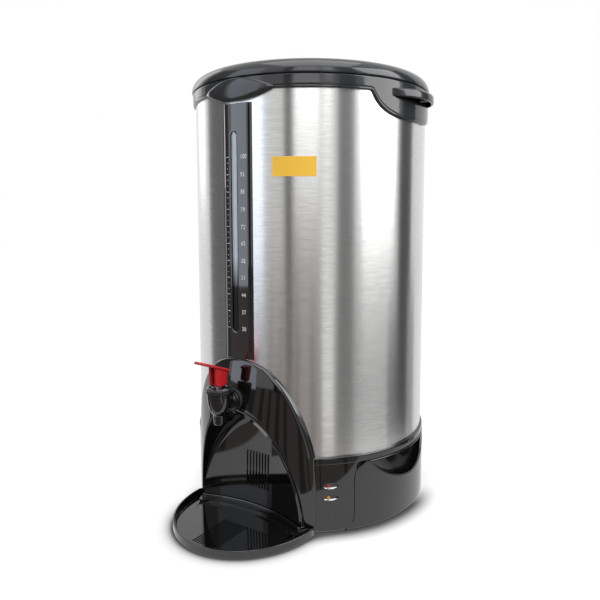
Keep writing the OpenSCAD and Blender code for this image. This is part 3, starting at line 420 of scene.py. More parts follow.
def earFoot(angle):
    y = abs(collarR * cosOf(angle))
    t = max(0, (y - collar["earFlat"]) / (collar["earHalf"] - collar["earFlat"]))
    ear = collar["earLow"] + (collar["skirt"] - collar["earLow"]) * (0.55 * t ** 2.0 + 0.5 * t ** 7)
    soft = collar["soft"]  # the ear runs into the skirt in a curve
    gap = ear - collar["skirt"]
    if gap > soft:
        return collar["skirt"]
    if gap < -soft:
        return ear
    return ear - (gap + soft) ** 2 / (4 * soft)


def collarRing(angle):
    foot = earFoot(angle)
    r, top, rimIn = collarR, collarTop, collar["rimIn"]
    section = [(jacketR + 0.15, foot + 0.1), (r - 1.7, foot), (r - 0.8, foot + 0.3), (r - 0.35, foot + 1.0),
               (r - 0.5, foot + 2.0), (r - 0.55, foot + 2.5), (r - 0.15, foot + collar["bead"]),
               (r, foot + 4.0), (r, foot + 4.6), (r, top - 2.3), (r, top - 1.7), (r - 0.15, top - 0.9),
               (r - 0.55, top - 0.3), (r - 1.2, top), (rimIn + 0.2, top), (rimIn, top - 0.3),
               (rimIn, collar["deckTop"]), (collar["deckIn"], collar["deckTop"]),
               (collar["deckIn"], collar["deckLow"]),
               (jacketR + 0.15, collar["deckLow"])]
    return [around(q, angle, z) for q, z in section]


bm = loft([collarRing(a) for a in steps(-180, 180, 360)], caps=False)
finishPiece("topCollar", bm, "top_collar")

handle = {"round": 3.2, "lip": 1.4, "wall": 3.0, "rows": 48}
handleHalf = handleHigh.y
handleTop, handleFoot = handleHigh.z, handleLow.z
sag = handleHigh.x - chord(collarR, handleHalf)
handleR = (handleHalf ** 2 + sag ** 2) / (2 * sag)
handleX = handleHigh.x - handleR


def handleRing(y):
    inner = chord(collarR - 0.4, y)
    reach = handleX + math.sqrt(max(0, handleR ** 2 - y * y)) - inner
    reach = max(reach, 0.05)
    rnd = min(handle["round"], reach * 0.6)
    lip = min(handle["lip"], reach * 0.3)
    wall = min(handle["wall"], reach * 0.7)
    tall = handleTop - handleFoot
    drop = 1.2 * (1 - min(1, reach / 8)) ** 2  # the nose is a little lower than the middle
    top, foot = handleTop - drop, handleFoot + drop
    points = [(0, top), (reach - rnd, top)]
    points += [(reach - rnd + rnd * sinOf(a), top - rnd + rnd * cosOf(a))
               for a in steps(18, 90, 4)]
    points += [(reach - lip + lip * cosOf(a), foot + lip - lip * sinOf(a))
               for a in steps(0, 90, 4)]
    under = top - min(handle["wall"], tall / 3)
    points += [(reach - wall, foot + 0.2), (reach - wall, under), (0, under)]
    return [Vector((inner + x, y, z)) for x, z in points]


for side, node in ((1, "handle_right"), (-1, "handle_left")):
    ys = [handleHalf * sinOf(a) for a in steps(-90, 90, handle["rows"])]
    bm = loft([handleRing(y) for y in ys])
    if side < 0:
        bmesh.ops.mirror(bm, geom=bm.verts[:] + bm.edges[:] + bm.faces[:], axis="X", merge_dist=-1)
        bmesh.ops.delete(bm, geom=[v for v in bm.verts if v.co.x > 0], context="VERTS")
        bmesh.ops.recalc_face_normals(bm, faces=bm.faces)
    finishPiece("handleRight" if side > 0 else "handleLeft", bm, node)

badge = {"proud": 2.6}
badgeHalf = badgeHigh.x
badgeMid = (badgeLow.z + badgeHigh.z) / 2
badgeRise = (badgeHigh.z - badgeLow.z) / 2


def badgeRing(x):
    arc = (badgeHalf ** 2 + badgeRise ** 2) / (2 * badgeRise)
    half = max(0.02, math.sqrt(arc * arc - x * x) - arc + badgeRise)
    angle = turnOf(x / collarR)
    grow = min(1, half / 5)
    front = []
    for s in steps(-1, 1, 22):
        bulge = (1 - abs(s) ** 2.4) ** 0.7 if abs(s) < 1 else 0
        front.append(around(collarR + 0.15 + grow * badge["proud"] * bulge, angle, badgeMid + half * s))
    back = [around(jacketR + 0.3, angle, badgeMid + half * s) for s in (1, -1)]
    return front + back


bm = loft([badgeRing(badgeHalf * 0.999 * sinOf(a)) for a in steps(-90, 90, 72)])
finishPiece("badgePlate", bm, "badge_plate")
print("lid, collar, handles and badge done")


# gauge: strip with a slot, a rounded window in it, printed scale

gauge = {"face": 14.6, "fall": 1.7, "slotHalf": 4.35, "slotX": -3.1, "slotEnd": 30.0,
         "slotEdge": {0.0: 0.35, 0.02: 0.1}, "slotDeep": 1.9}
stripHalf = stripHigh.x
stripR = -stripLow.y
slotLow, slotHigh = stripLow.z + gauge["slotEnd"], stripHigh.z - gauge["slotEnd"]


def stripAt(x, z, depth=0.0):
    fall = gauge["fall"] * eased((abs(x) - gauge["face"]) / (stripHalf - gauge["face"])) ** 0.8
    return around(stripR - fall - depth, turnOf(x / stripR), z)


def stripLoops():
    half, mid = gauge["slotHalf"], gauge["slotX"]
    low, high = slotLow + half, slotHigh - half
    inner, outer = [], []
    for side, centre, end in ((1, high, stripHigh.z), (-1, low, stripLow.z)):
        for t in steps(0, 1, 40)[:-1]:
            share = t if side > 0 else 1 - t
            inner.append((mid + side * half, low + (high - low) * share))
            outer.append((side * stripHalf, stripLow.z + (stripHigh.z - stripLow.z) * share))
        for a in steps(0, 180, 24)[:-1]:
            inner.append((mid + side * half * cosOf(a), centre + side * half * sinOf(a)))
            outer.append((side * stripHalf * (1 - a / 90), end))
    return inner, outer


inner, outer = stripLoops()
spread = [0.0, 0.02, 0.05] + steps(0.1, 1, 14)
rings = []
for (x0, z0), (x1, z1) in zip(inner + inner[:1], outer + outer[:1]):
    line = [stripAt(x0 + (x1 - x0) * s, z0 + (z1 - z0) * s, gauge["slotEdge"].get(s, 0)) for s in spread]
    foot = around(jacketR + 0.12, turnOf(x1 / stripR), z1)
    rings.append([stripAt(x0, z0, gauge["slotDeep"])] + line + [foot])
bm = loft(rings, caps=False)
finishPiece("gaugeStrip", bm, "gauge_strip", sharp=30)

window = {"crown": 1.5, "base": 142.4, "gap": 0.12, "lift": 0.2}


def windowRing(z):
    end = min(z - slotLow, slotHigh - z)
    half = gauge["slotHalf"] - window["gap"]
    if end < half:
        half = math.sqrt(max(0.0025, half ** 2 - (half - end) ** 2))
    points = []
    for a in steps(-90, 90, 16):
        x = gauge["slotX"] + half * sinOf(a)
        points.append(around(jacketR + window["lift"] + window["crown"] * cosOf(a), turnOf(x / jacketR), z))
    for s in (1, -1):
        points.append(around(window["base"], turnOf((gauge["slotX"] + s * half) / jacketR), z))
    return points


windowEnds = [gauge["slotHalf"] * (1 - cosOf(a)) for a in steps(0, 90, 10)]
windowZ = [slotLow + e + 0.01 for e in windowEnds] + [slotHigh - e - 0.01 for e in reversed(windowEnds)]
bm = loft([windowRing(z) for z in windowZ])
finishPiece("gaugeWindow", bm, "gauge_window", sharp=50)

scale = {"top": 413.1, "step": 18.77, "cups": list(range(100, 29, -7)), "digits": 6.6, "narrow": 0.8,
         "spacing": 1.12, "numberX": 6.2, "tickX": -12.4, "tickWide": 3.6, "tickTall": 0.55,
         "dotR": 0.45, "ink": 0.06}
upright = Matrix.Rotation(math.pi / 2, 4, "X")


def markOn(bm, x, z, wide, tall):
    shape = Matrix.Diagonal((wide, scale["ink"], tall, 1))
    bmesh.ops.create_cube(bm, size=1, matrix=Matrix.Translation((x, 0, z)) @ shape)


bm = bmesh.new()
for index, cups in enumerate(scale["cups"]):
    z = scale["top"] - scale["step"] * index
    markOn(bm, scale["tickX"], z, scale["tickWide"], scale["tickTall"])
    if index + 1 < len(scale["cups"]):
        for part in (1 / 3, 2 / 3):
            spot = Matrix.Translation((scale["tickX"], 0, z - scale["step"] * part))
            bmesh.ops.create_cone(bm, cap_ends=True, segments=12, radius1=scale["dotR"],
                                  radius2=scale["dotR"], depth=scale["ink"], matrix=spot @ upright)
    text = bpy.data.curves.new("cups", "FONT")
    text.body = str(cups)
    text.size = scale["digits"]
    text.space_character = scale["spacing"]
    text.extrude = scale["ink"] / 2
    text.resolution_u = 3
    holder = bpy.data.objects.new("cups", text)
    figures = bpy.data.meshes.new_from_object(holder)
    middle = sum((v.co.y for v in figures.vertices), 0.0) / len(figures.vertices)
    figures.transform(Matrix.Translation((scale["numberX"], 0, z)) @ upright
                      @ Matrix.Diagonal((scale["narrow"], 1, 1, 1)) @ Matrix.Translation((0, -middle, 0)))
    bm.from_mesh(figures)
    bpy.data.objects.remove(holder)
    bpy.data.curves.remove(text)
    bpy.data.meshes.remove(figures)
for v in bm.verts:  # wrap the print round the strip
    v.co = stripAt(v.co.x, v.co.z, v.co.y - 0.02)
finishPiece("gaugeScale", bm, slotName="gauge_black", material=whitePrint)
print("gauge done")


# apron: one hood over the arch, two legs below it, liner and ribbed back wall

apron = {"faceR": 122.0, "leanR": 340.0, "leanZ": 120.0, "power": 2.4, "flare": 90.0, "edge": 2.2, "lip": 0.9,
         "lipOut": 4.5, "archHalf": 75.2, "archRise": 134.2, "roll": 1.6}
faceY = apronLow.y + apron["faceR"]
apronTop = apronHigh.z
hoodFoot = apronLow.z


def faceAt(x, z, sink=0.0):
    lean = 0.0
    if z > apron["leanZ"]:
        lean = apron["leanR"] - chord(apron["leanR"], z - apron["leanZ"])
    return Vector((x, faceY - chord(apron["faceR"] - lean - sink, x), z))


def behind(x, z, radius):
    return Vector((x, -chord(radius, x), z))


def hoodOuter(a):
    c, s = cosOf(a), sinOf(a)
    bend = 2 / apron["power"]
    return Vector((math.copysign(abs(c) ** bend, c) * apron["flare"], 0, s ** bend * apronTop))


def hoodInner(b):
    return Vector((apron["archHalf"] * cosOf(b), 0, apron["archRise"] * sinOf(b)))


outerStart = turnOf((hoodFoot / apronTop) ** (apron["power"] / 2))
innerStart = turnOf(hoodFoot / apron["archRise"])


def hoodRing(t):
    p = hoodOuter(outerStart + (180 - 2 * outerStart) * t)
    q = hoodInner(innerStart + (180 - 2 * innerStart) * t)
    high = 1 - min(1, abs(t - 0.5) / 0.3)  # the lip round the arch fades towards the sides
    width = (p - q).length
    lift = apron["lip"] * eased(high * 1.5)
    edge, out = apron["edge"], apron["lipOut"]

    def across(s, sink=0.0):  # a point of the face, s in from the outer edge
        w = p.lerp(q, s / width)
        return faceAt(w.x, w.z, sink)

    points = [behind(p.x * 0.985, p.z - 0.8, jacketR + 0.35), behind(p.x, p.z, jacketR + 0.35)]
    points += [across(s, sink) for s, sink in (
        (0.0, edge), (0.3, edge * 0.62), (0.9, edge * 0.3), (2.0, 0.12), (3.2, 0.0))]
    points += [across(s) for s in steps(4.5, width - out - 1.6, 10)]
    points += [across(width - s, -up * lift) for s, up in (
        (out + 0.7, 0.0), (out, 0.7), (out - 0.8, 1.0), (2.6, 1.0))]
    points += [across(width - s, sink - lift) for s, sink in (
        (1.6, 0.12), (0.8, 0.45), (0.25, 1.0), (0.0, apron["roll"]))]
    points += [faceAt(q.x, q.z, 5.0), faceAt(*(q.lerp(p, 2.5 / width).xz), 5.0)]
    return points


bm = loft([hoodRing(t) for t in steps(0, 1, 120)])
finishPiece("frontApron", bm, "front_apron", sharp=50)

legs = {"foot": legLow.z, "top": legHigh.z, "half": legHigh.x, "edge": 1.4, "backR": 145.8,
        "taper": 1.8, "taperFrom": 40, "taperOver": 50}


def legRing(z, side):
    inner = apron["archHalf"] * math.sqrt(1 - (z / apron["archRise"]) ** 2)
    outer = legs["half"] - legs["taper"] * eased((z - legs["taperFrom"]) / legs["taperOver"])
    points = [behind(outer, z, legs["backR"])]
    points += [faceAt(outer - s, z, sink) for s, sink in ((0.0, 1.0), (0.3, 0.45), (legs["edge"], 0.0))]
    points += [faceAt(x, z) for x in steps(outer - 3, inner + 3, 8)]
    points += [faceAt(inner + s, z, sink) for s, sink in ((1.8, 0.05), (0.8, 0.4), (0.25, 0.9), (0.0, 1.6))]
    points += [faceAt(inner, z, 5.0), faceAt(inner + 2.5, z, 5.0)]
    return [Vector((p.x * side, p.y, p.z)) for p in points]


bm = bmesh.new()
for side in (1, -1):
    addTo(bm, loft([legRing(z, side) for z in steps(legs["foot"], legs["top"], 40)]))
finishPiece("apronLegs", bm, "front_legs", sharp=50)

niche = {"half": 72.5, "rise": 131.5, "wall": 2.5, "backR": 186.6, "ribCount": 8, "ribSpan": 31.0,
         "ribWide": 1.4, "ribProud": 1.3, "ribLow": 29.0, "ribHigh": 72.0, "cove": 24.0, "lean": 0.044,
         "leanFrom": 10, "deep": 29, "middle": 62}
backAxis = -(jacketR - niche["deep"]) - niche["backR"]


def backAt(x, z, sink=0.0):
    lean = niche["lean"] * max(0, z - niche["leanFrom"])
    return Vector((x, backAxis + chord(niche["backR"] + sink, x) + lean, z))


def roofRing(b):
    x, z = niche["half"] * cosOf(b), niche["rise"] * sinOf(b)
    ox, oz = (niche["half"] + niche["wall"]) * cosOf(b), (niche["rise"] + niche["wall"]) * sinOf(b)
    front, back = faceAt(x, z, 0.5), backAt(x, z, 0.2)
    depth = (front - back).length
    c = min(niche["cove"], depth * 0.6) * (0.2 + 0.8 * eased((z - 12) / 25))  # tighter near the table
    inside = [front.lerp(back, s) for s in [0, 0.02] + steps(0.06, 1 - (c + 0.5) / depth, 8)]
    toMiddle = Vector((-x, 0, niche["middle"] - z)).normalized()
    for a in steps(0, 90, 12):  # the roof rolls into the back wall
        p = Vector((x, 0, z)) + toMiddle * c * (1 - cosOf(a))
        inside.append(backAt(p.x, p.z, 0.2) - Vector((0, c * (1 - sinOf(a)), 0)))
    return inside + [backAt(ox, oz, 1.5), faceAt(ox, oz, 2.0)]


roofStart = turnOf(legs["foot"] / niche["rise"])
bm = loft([roofRing(b) for b in steps(roofStart, 180 - roofStart, 96)])


def backRing(x):
    top = niche["rise"] * math.sqrt(max(0, 1 - (x / niche["half"]) ** 2)) - 0.4
    levels = steps(nicheLow.z, max(top, nicheLow.z + 1), 24)
    return [backAt(x, z) for z in levels] + [backAt(x, z, niche["wall"]) for z in reversed(levels)]


backHalf = niche["half"] - 1
addTo(bm, loft([backRing(x) for x in steps(-backHalf, backHalf, 64)]))
half = niche["ribWide"] / 2
tall = niche["ribHigh"] - niche["ribLow"]
for x in ribPlaces(niche):
    y = backAt(x, niche["ribLow"]).y
    tip = y - niche["ribProud"]
    corners = [(x - half, y + 0.5), (x - half * 0.6, tip), (x + half * 0.6, tip), (x + half, y + 0.5)]
    foot = [(cx, cy, niche["ribLow"]) for cx, cy in corners]
    addTo(bm, slab(foot, (0, niche["lean"] * tall, tall), 0.25, 2))
finishPiece("nicheLiner", bm, "niche_panel", sharp=45)
print("apron and niche done")


# drip tray: a rim, an upright wall, one step at the back and a ribbed floor

tray = {"ribCount": 10, "ribSpan": 30.6, "ribLow": -205.0, "ribHigh": -152.0, "sideNotch": 73.0,
        "reach": 95.0, "horn": 4.6, "hornOver": 7}
trayHalf, trayTop = trayHigh.x, trayHigh.z
trayMid = trayLow.y + tray["reach"]


def trayBack(x):
    wall = backAxis + chord(niche["backR"] - 0.6, min(abs(x), tray["sideNotch"]))
    side = trayMid + tray["horn"]
    return wall + (side - wall) * eased((abs(x) - tray["sideNotch"]) / tray["hornOver"])


def trayLoop(inset, backInset, z):
    half = trayHalf - inset
    points = [Vector((half * cosOf(a), trayMid + (tray["reach"] - inset) * sinOf(a), z))
              for a in steps(180, 360, 72)]
    for x in steps(half, -half, 72)[1:-1]:
        y = trayBack(x * trayHalf / half) - backInset
        points.append(Vector((x, max(y, trayMid + 0.6), z) if abs(x) > half * 0.93 else (x, y, z)))
    return points


# inset at the front, inset at the back, height
trayLevels = [(2.0, 1.0, 0.3), (0.5, 0.3, 0.3), (0.0, 0.0, 0.9), (0.0, 0.0, 1.4), (0.0, 0.0, trayTop - 1.0),
              (0.0, 0.0, trayTop - 0.5), (0.12, 0.1, trayTop - 0.15), (0.4, 0.3, trayTop),
              (1.4, 0.9, trayTop), (1.7, 1.1, trayTop - 0.15), (1.9, 1.3, trayTop - 0.5),
              (2.1, 1.4, trayTop - 1.2), (2.6, 1.5, trayTop - 3.7), (2.8, 8.8, trayTop - 3.7),
              (4.2, 9.0, 2.0), (14.0, 26.0, 2.0)]
bm = loft([trayLoop(*level) for level in trayLevels])
for x in ribPlaces(tray):
    outline = [(x + dx, tray["ribLow"], z) for dx, z in ((-0.5, 1.8), (0.5, 1.8), (0.3, 2.8), (-0.3, 2.8))]
    addTo(bm, slab(outline, (0, tray["ribHigh"] - tray["ribLow"], 0), 0))
finishPiece("dripTray", bm, "drip_tray", body="tray", sharp=50)
print("tray done")


# base: front walls with the lamp eyes, top band, side and rear covers with the finger recesses

base = {"wallR": 145.0, "wallFrom": 31.0, "wallTo": 54.4, "bandFrom": 31.5, "bandTall": 8.2, "shellIn": 139,
        "shellOut": 141.9, "lampAngle": 42.5, "lampHigh": 53.5, "lampPitch": 13.2, "eyeHalf": 9.2,
        "eyeRise": 3.2, "eyeDeep": 1.7, "lensShift": -2.0, "lensR": 2.2}
lampPlaces = (base["lampHigh"], base["lampHigh"] - base["lampPitch"])
bandR = ringHigh.x
bandTop = ringHigh.z
bandFoot = bandTop - base["bandTall"]
footZ = coverLow.z


def eyeDepth(angle, z):
    s = math.radians(angle - base["lampAngle"]) * base["wallR"]
    deep = 0.0
    for lampZ in lampPlaces:
        if abs(s) < base["eyeHalf"]:
            rise = base["eyeRise"] * (1 - (s / base["eyeHalf"]) ** 2)
            inside = 1 - abs(z - lampZ) / max(rise, 0.01)
            deep = max(deep, base["eyeDeep"] * eased(inside * 1.6))
    return deep


def wallRing(angle, lamps):
    levels = [footZ, footZ + 0.5] + steps(footZ + 1.2, bandFoot - 0.1, 110)
    sinks = [1.0, 0.25] + [0.0] * (len(levels) - 2)
    outer = []
    for z, sink in zip(levels, sinks):
        outer.append(around(base["wallR"] - sink - (eyeDepth(angle, z) if lamps else 0), angle, z))
    return outer + [around(base["wallR"] - 3, angle, z) for z in (bandFoot - 0.1, footZ)]


def shellRing(angle):  # the inner wall that the covers are fixed to
    inner, outer, top = base["shellIn"], base["shellOut"], bandFoot - 0.3
    return [around(r, angle, z) for r, z in ((inner, footZ), (outer, footZ), (outer, top), (inner, top))]


bm = loft([wallRing(a, True) for a in steps(base["wallFrom"], base["wallTo"], 110)])
addTo(bm, loft([wallRing(-a, False) for a in steps(base["wallFrom"], base["wallTo"], 24)]))
for wallFrom, wallTo in ((53, 58.8), (121.2, 238.8), (301.2, 307)):
    addTo(bm, loft([shellRing(a) for a in steps(wallFrom, wallTo, 60)]))
finishPiece("baseWalls", bm, "base_walls", sharp=42)


def bandRing(angle):
    r, foot, top, inner = bandR, bandFoot, bandTop, base["shellIn"]
    section = [(inner, foot), (r - 0.8, foot), (r - 0.2, foot + 0.25), (r, foot + 0.9), (r, foot + 1.4),
               (r, top - 2.0), (r, top - 1.5), (r - 0.2, top - 0.7), (r - 0.7, top - 0.15), (r - 1.3, top),
               (jacketR + 0.25, top - 0.1), (jacketR + 0.2, top - 4), (inner, top - 4)]
    return [around(q, angle, z) for q, z in section]


bm = loft([bandRing(a) for a in steps(base["bandFrom"], 360 - base["bandFrom"], 260)])
finishPiece("baseBand", bm, "base_ring", sharp=42)

cover = {"edge": 53.5, "top": coverHigh.z, "inner": 142.1, "corner": 18.0, "flare": 11.0, "flareTop": 19.0,
         "gripTop": 75.3, "gripHalf": 70.0, "gripDeep": 31.0, "scoop": 24.0, "join": 77.2,
         "cupR": 141.8, "cupIn": 117, "cupWall": 1.6}
coverR = coverHigh.x
gripArc = (cover["gripHalf"] ** 2 + cover["gripDeep"] ** 2) / (2 * cover["gripDeep"])


def gripFoot(y):
    return cover["gripTop"] - cover["gripDeep"] + gripArc - chord(gripArc, y)


def coverRing(angle):
    turn = min(angle, 360 - angle)  # degrees from the front, the same on both sides
    s = math.radians(turn - cover["edge"]) * coverR
    inner, r, top = cover["inner"], coverR, cover["top"]
    if s < 0:
        inner = base["wallR"] + 0.03
        side = min(1, -s / cover["flare"])
        top = footZ + 0.6 + (cover["flareTop"] - footZ - 0.6) * (1 - math.sqrt(1 - (1 - side) ** 2))
        r = coverR - 0.5 * side
    elif s < cover["corner"]:
        top = cover["top"] - cover["corner"] + chord(cover["corner"], cover["corner"] - s)
    y = coverR * cosOf(turn)
    if abs(y) < cover["gripHalf"]:
        top = min(top, gripFoot(y))
    e = min(0.9, (top - footZ) * 0.3)
    section = [(inner, footZ), (r - 0.8, footZ), (r - 0.2, footZ + e * 0.4), (r, footZ + e),
               (r, footZ + e + 0.5), (r, top - e - 0.5), (r, top - e), (r - 0.22, top - e * 0.35),
               (r - 0.8, top), (inner, top)]
    return [around(q, angle, z) for q, z in section]


gripTurn = math.degrees(math.acos(cover["gripHalf"] / coverR))
joinTurn = 180 - math.degrees(math.acos(cover["join"] / coverR))
sideTurns = [cover["edge"] - math.degrees(s / coverR) for s in steps(cover["flare"], 0.02, 20)]
cornerSteps = (0.0, 0.1, 0.4, 0.9, 1.6, 2.6, 4, 6, 8, 10, 12, 14, 16)
sideTurns += [cover["edge"] + math.degrees(s / coverR) for s in cornerSteps]
sideTurns += steps(cover["edge"] + 7, gripTurn - 0.02, 2) + steps(gripTurn + 0.02, 180 - gripTurn - 0.02, 90)
sideTurns += steps(180 - gripTurn + 0.02, joinTurn, 4)
bm = loft([coverRing(a) for a in sideTurns])
addTo(bm, loft([coverRing(360 - a) for a in reversed(sideTurns)]))
finishPiece("sideCovers", bm, "side_covers", sharp=40)
bm = loft([coverRing(a) for a in steps(joinTurn + 0.1, 359.9 - joinTurn, 80)])
finishPiece("rearCover", bm, "rear_cover", sharp=40)


def scoopRing(y, side):
    foot = gripFoot(y) - 0.05
    edge = chord(cover["cupR"], y)
    deep = min(cover["scoop"], edge - cover["cupIn"]) * (1 - (abs(y) / (cover["gripHalf"] + 2)) ** 4) + 0.4
    top = cover["gripTop"] + 0.4
    rise, wall = top - foot, cover["cupWall"]
    inside = [(edge, foot)]
    inside += [(edge - deep * sinOf(a), foot + rise * (1 - cosOf(a))) for a in steps(6, 88, 14)]
    inside += [(edge - deep, top), (edge, top)]
    outside = [(edge, top + wall), (edge - deep - wall, top + wall), (edge - deep - wall, foot + rise * 0.5),
               (edge - deep * 0.5, foot - wall), (edge, foot - wall)]
    return [Vector((side * x, y, z)) for x, z in inside + outside]


bm = bmesh.new()
for side in (1, -1):
    addTo(bm, loft([scoopRing(y, side) for y in steps(-cover["gripHalf"], cover["gripHalf"], 60)]))
finishPiece("gripCups", bm, "grip_cups", sharp=50, material=recessBlack)

bm = bmesh.new()
bar = [(cover["inner"], cover["gripTop"]), (coverR - 0.5, cover["gripTop"]), (coverR, cover["gripTop"] + 0.4),
       (coverR, cover["top"] - 0.5), (coverR - 0.3, cover["top"] - 0.1), (coverR - 0.8, cover["top"]),
       (cover["inner"], cover["top"])]
barTurns = steps(gripTurn + 0.1, 179.9 - gripTurn, 48)
for side in (0, 180):  # the edge of the roof shows as a bar over each recess
    addTo(bm, loft([[around(r, a + side, z) for r, z in bar] for a in barTurns]))
finishPiece("gripBars", bm, slotName="charcoal_plastic", sharp=50, material=finish["black_plastic"])


def lampPiece(name, z, node):
    rBack = base["wallR"] - 6
    rFace = base["wallR"] - base["eyeDeep"] - 0.2
    r = base["lensR"]
    profile = [(0, rBack), (r, rBack), (r, rFace + 0.3), (r * 0.93, rFace + 0.75), (r * 0.74, rFace + 1.15),
               (r * 0.42, rFace + 1.4), (0, rFace + 1.5)]
    bm = turnedAcross([(q, -d) for q, d in profile], 40, z)
    lampTurn = math.radians(base["lampAngle"]) + base["lensShift"] / base["wallR"]
    bmesh.ops.rotate(bm, cent=(0, 0, 0), matrix=Matrix.Rotation(lampTurn, 3, "Z"), verts=bm.verts)
    finishPiece(name, bm, node)


lampPiece("heatLamp", lampPlaces[0], "heat_lamp")
lampPiece("readyLamp", lampPlaces[1], "ready_lamp")


def lidRing(x, lampZ):  # polished lower lid of an eye, sloping in towards the lens
    rise = max(0.12, base["eyeRise"] * (1 - (x / base["eyeHalf"]) ** 2))
    angle = base["lampAngle"] + math.degrees(x / base["wallR"])
    low, lens = -rise - 0.05, -rise * 0.5
    lid = [(0.02, low), (0.08, -rise + 0.1), (-0.1, -rise * 0.86), (-0.5, -rise * 0.62), (-0.9, lens),
           (-2.2, lens), (-2.2, low)]
    return [around(base["wallR"] + dr, angle, lampZ + dz) for dr, dz in lid]


lidHalf = base["eyeHalf"] * 0.97
bm = bmesh.new()
for lampZ in lampPlaces:
    addTo(bm, loft([lidRing(x, lampZ) for x in steps(-lidHalf, lidHalf, 48)]))
finishPiece("lampBezels", bm, "lamp_bezels", sharp=50)

glandLow, glandHigh = boxOf("cord_gland")
glandMid = (glandLow.z + glandHigh.z) / 2
glandR = (glandHigh.z - glandLow.z) / 2
glandEnd = glandHigh.y
gland = {"bore": 3.75, "neck": 6.7}
glandProfile = [(gland["bore"], glandLow.y), (gland["neck"], glandLow.y), (gland["neck"], coverR),
                (glandR, coverR + 0.1), (glandR, glandEnd - 1.2), (glandR - 0.4, glandEnd - 0.4),
                (glandR - 1.2, glandEnd), (4.6, glandEnd), (3.95, glandEnd - 0.3),
                (gland["bore"], glandEnd - 1)]
bm = turnedAcross(glandProfile, 64, glandMid)
finishPiece("cordGland", bm, "cord_gland")
print("base done")


# tap: turned body with a nozzle, knurled bonnet, red lever on its pin, spring inside

tapY = (bonnetLow.y + bonnetHigh.y) / 2
tap = {"barrel": 12.4, "nozzle": 5.6, "bowl": 20.5, "neck": 8.0, "flange": 11.4, "washerFace": -156.0,
       "ribs": 36, "bonnetTall": 10, "neckDrop": 10}
barrelTop = bonnetHigh.z - tap["bonnetTall"]
tapZ = barrelTop - tap["neckDrop"]


def bowlAt(z):
    return tap["barrel"] * math.sqrt(max(0, 1 - ((barrelTop - z) / (1.16 * tap["bowl"])) ** 2))


bowlFoot = barrelTop - tap["bowl"]
nozzle, barrel = tap["nozzle"], tap["barrel"]
tapProfile = [(3.6, tapLow.z + 0.2), (4.9, tapLow.z), (5.25, tapLow.z + 0.5), (nozzle, tapLow.z + 2),
              (nozzle + 0.25, bowlFoot - 1.2), (nozzle + 0.5, bowlFoot - 0.3)]
tapProfile += [(max(nozzle + 0.8, bowlAt(z)), z) for z in steps(bowlFoot + 0.2, barrelTop - 2.0, 20)]
tapProfile += [(barrel + 0.1, barrelTop - 1.2), (barrel + 0.1, barrelTop), (9.4, barrelTop),
               (9.4, bowlFoot + 5), (3.6, bowlFoot + 4.5)]
bm = turned([(r, tapY, z) for r, z in tapProfile], 96, centre=(0, tapY, 0))
neck, flange, washerY = tap["neck"], tap["flange"], tap["washerFace"]
neckProfile = [(4.5, tapY + 9.6), (neck, tapY + 9.6), (neck, washerY - 5.2), (neck + 0.3, washerY - 4.9),
               (flange - 1.9, washerY - 4.9), (flange - 1.6, washerY - 4.6), (flange - 1.6, washerY - 2.8),
               (flange - 1.3, washerY - 2.6), (flange - 0.3, washerY - 2.6), (flange, washerY - 2.3),
               (flange, washerY), (6.5, washerY), (6.5, tapHigh.y), (4.5, tapHigh.y)]
addTo(bm, turnedAcross(neckProfile, 72, tapZ))
finishPiece("tapBody", bm, "tap_body", sharp=42)


def bonnetRing(angle):
    ridge = 0.5 * (0.5 + 0.5 * cosOf(angle * tap["ribs"])) ** 0.5
    r = bonnetHigh.x - 0.6
    section = [(6.0, 0.05), (barrel + 0.05, 0.05), (barrel + 0.15, 2.9), (r - 0.3, 3.1), (r + ridge, 3.6),
               (r + ridge, 8.4), (r - 0.1, 8.7), (r + 0.1, 9.0), (r - 0.1, 9.6), (r - 0.7, 10.0), (9.6, 10.0),
               (9.0, 9.5), (7.6, 9.5), (3.15, 9.5), (3.15, 6.4), (6.0, 6.2)]
    return [Vector((q * sinOf(angle), tapY - q * cosOf(angle), barrelTop + h)) for q, h in section]


bm = loft([bonnetRing(a) for a in steps(0, 360, tap["ribs"] * 6)], caps=False)
finishPiece("tapBonnet", bm, "tap_bonnet", sharp=42)

pinLow, pinHigh = boxOf("lever_pin")
leverLow = boxOf("lever")[0]
pinZ = (pinLow.z + pinHigh.z) / 2
lever = {"slope": 20.8, "back": 10.5, "up": 4.0, "length": 46.5, "wide": 14.0, "thick": 3.0, "front": 9.0,
         "rear": 8.6, "cheek": 3.6, "gap": 2.05, "heelFront": 5.0, "heelRear": 6.5, "heelUp": 0.5}


def paddleMid(y):
    rise = (lever["back"] - y) * math.tan(math.radians(lever["slope"]))
    return pinZ + lever["up"] + rise + lever["thick"] / 2


heelZ = leverLow.z + lever["heelUp"]
half = lever["wide"] / 2
nose = half - lever["length"]
outline = [(half, 0, 0), (half, nose, 0)]
outline += [(half * cosOf(a), nose - half * sinOf(a), 0) for a in steps(12, 168, 13)]
outline += [(-half, nose, 0), (-half, 0, 0)]
bm = slab(outline, (0, 0, lever["thick"]), 1.1, 4)
tilt = Matrix.Rotation(math.radians(-lever["slope"]), 3, "X")
bmesh.ops.rotate(bm, cent=(0, 0, 0), matrix=tilt, verts=bm.verts)
bmesh.ops.translate(bm, vec=(0, tapY + lever["back"], pinZ + lever["up"]), verts=bm.verts)
front, rear = -lever["front"], lever["rear"]
cheek = [(-lever["heelFront"], heelZ), (lever["heelRear"], heelZ), (rear, heelZ + 2.6),
         (rear + 0.6, paddleMid(rear + 0.6)), (front - 0.8, paddleMid(front - 0.8)), (front, heelZ + 3.4)]
for x in (lever["gap"], -lever["gap"] - lever["cheek"]):
    addTo(bm, slab([(x, tapY + y, z) for y, z in cheek], (lever["cheek"], 0, 0), 1.5, 5))
finishPiece("tapLever", bm, "lever", body="lever", sharp=35)

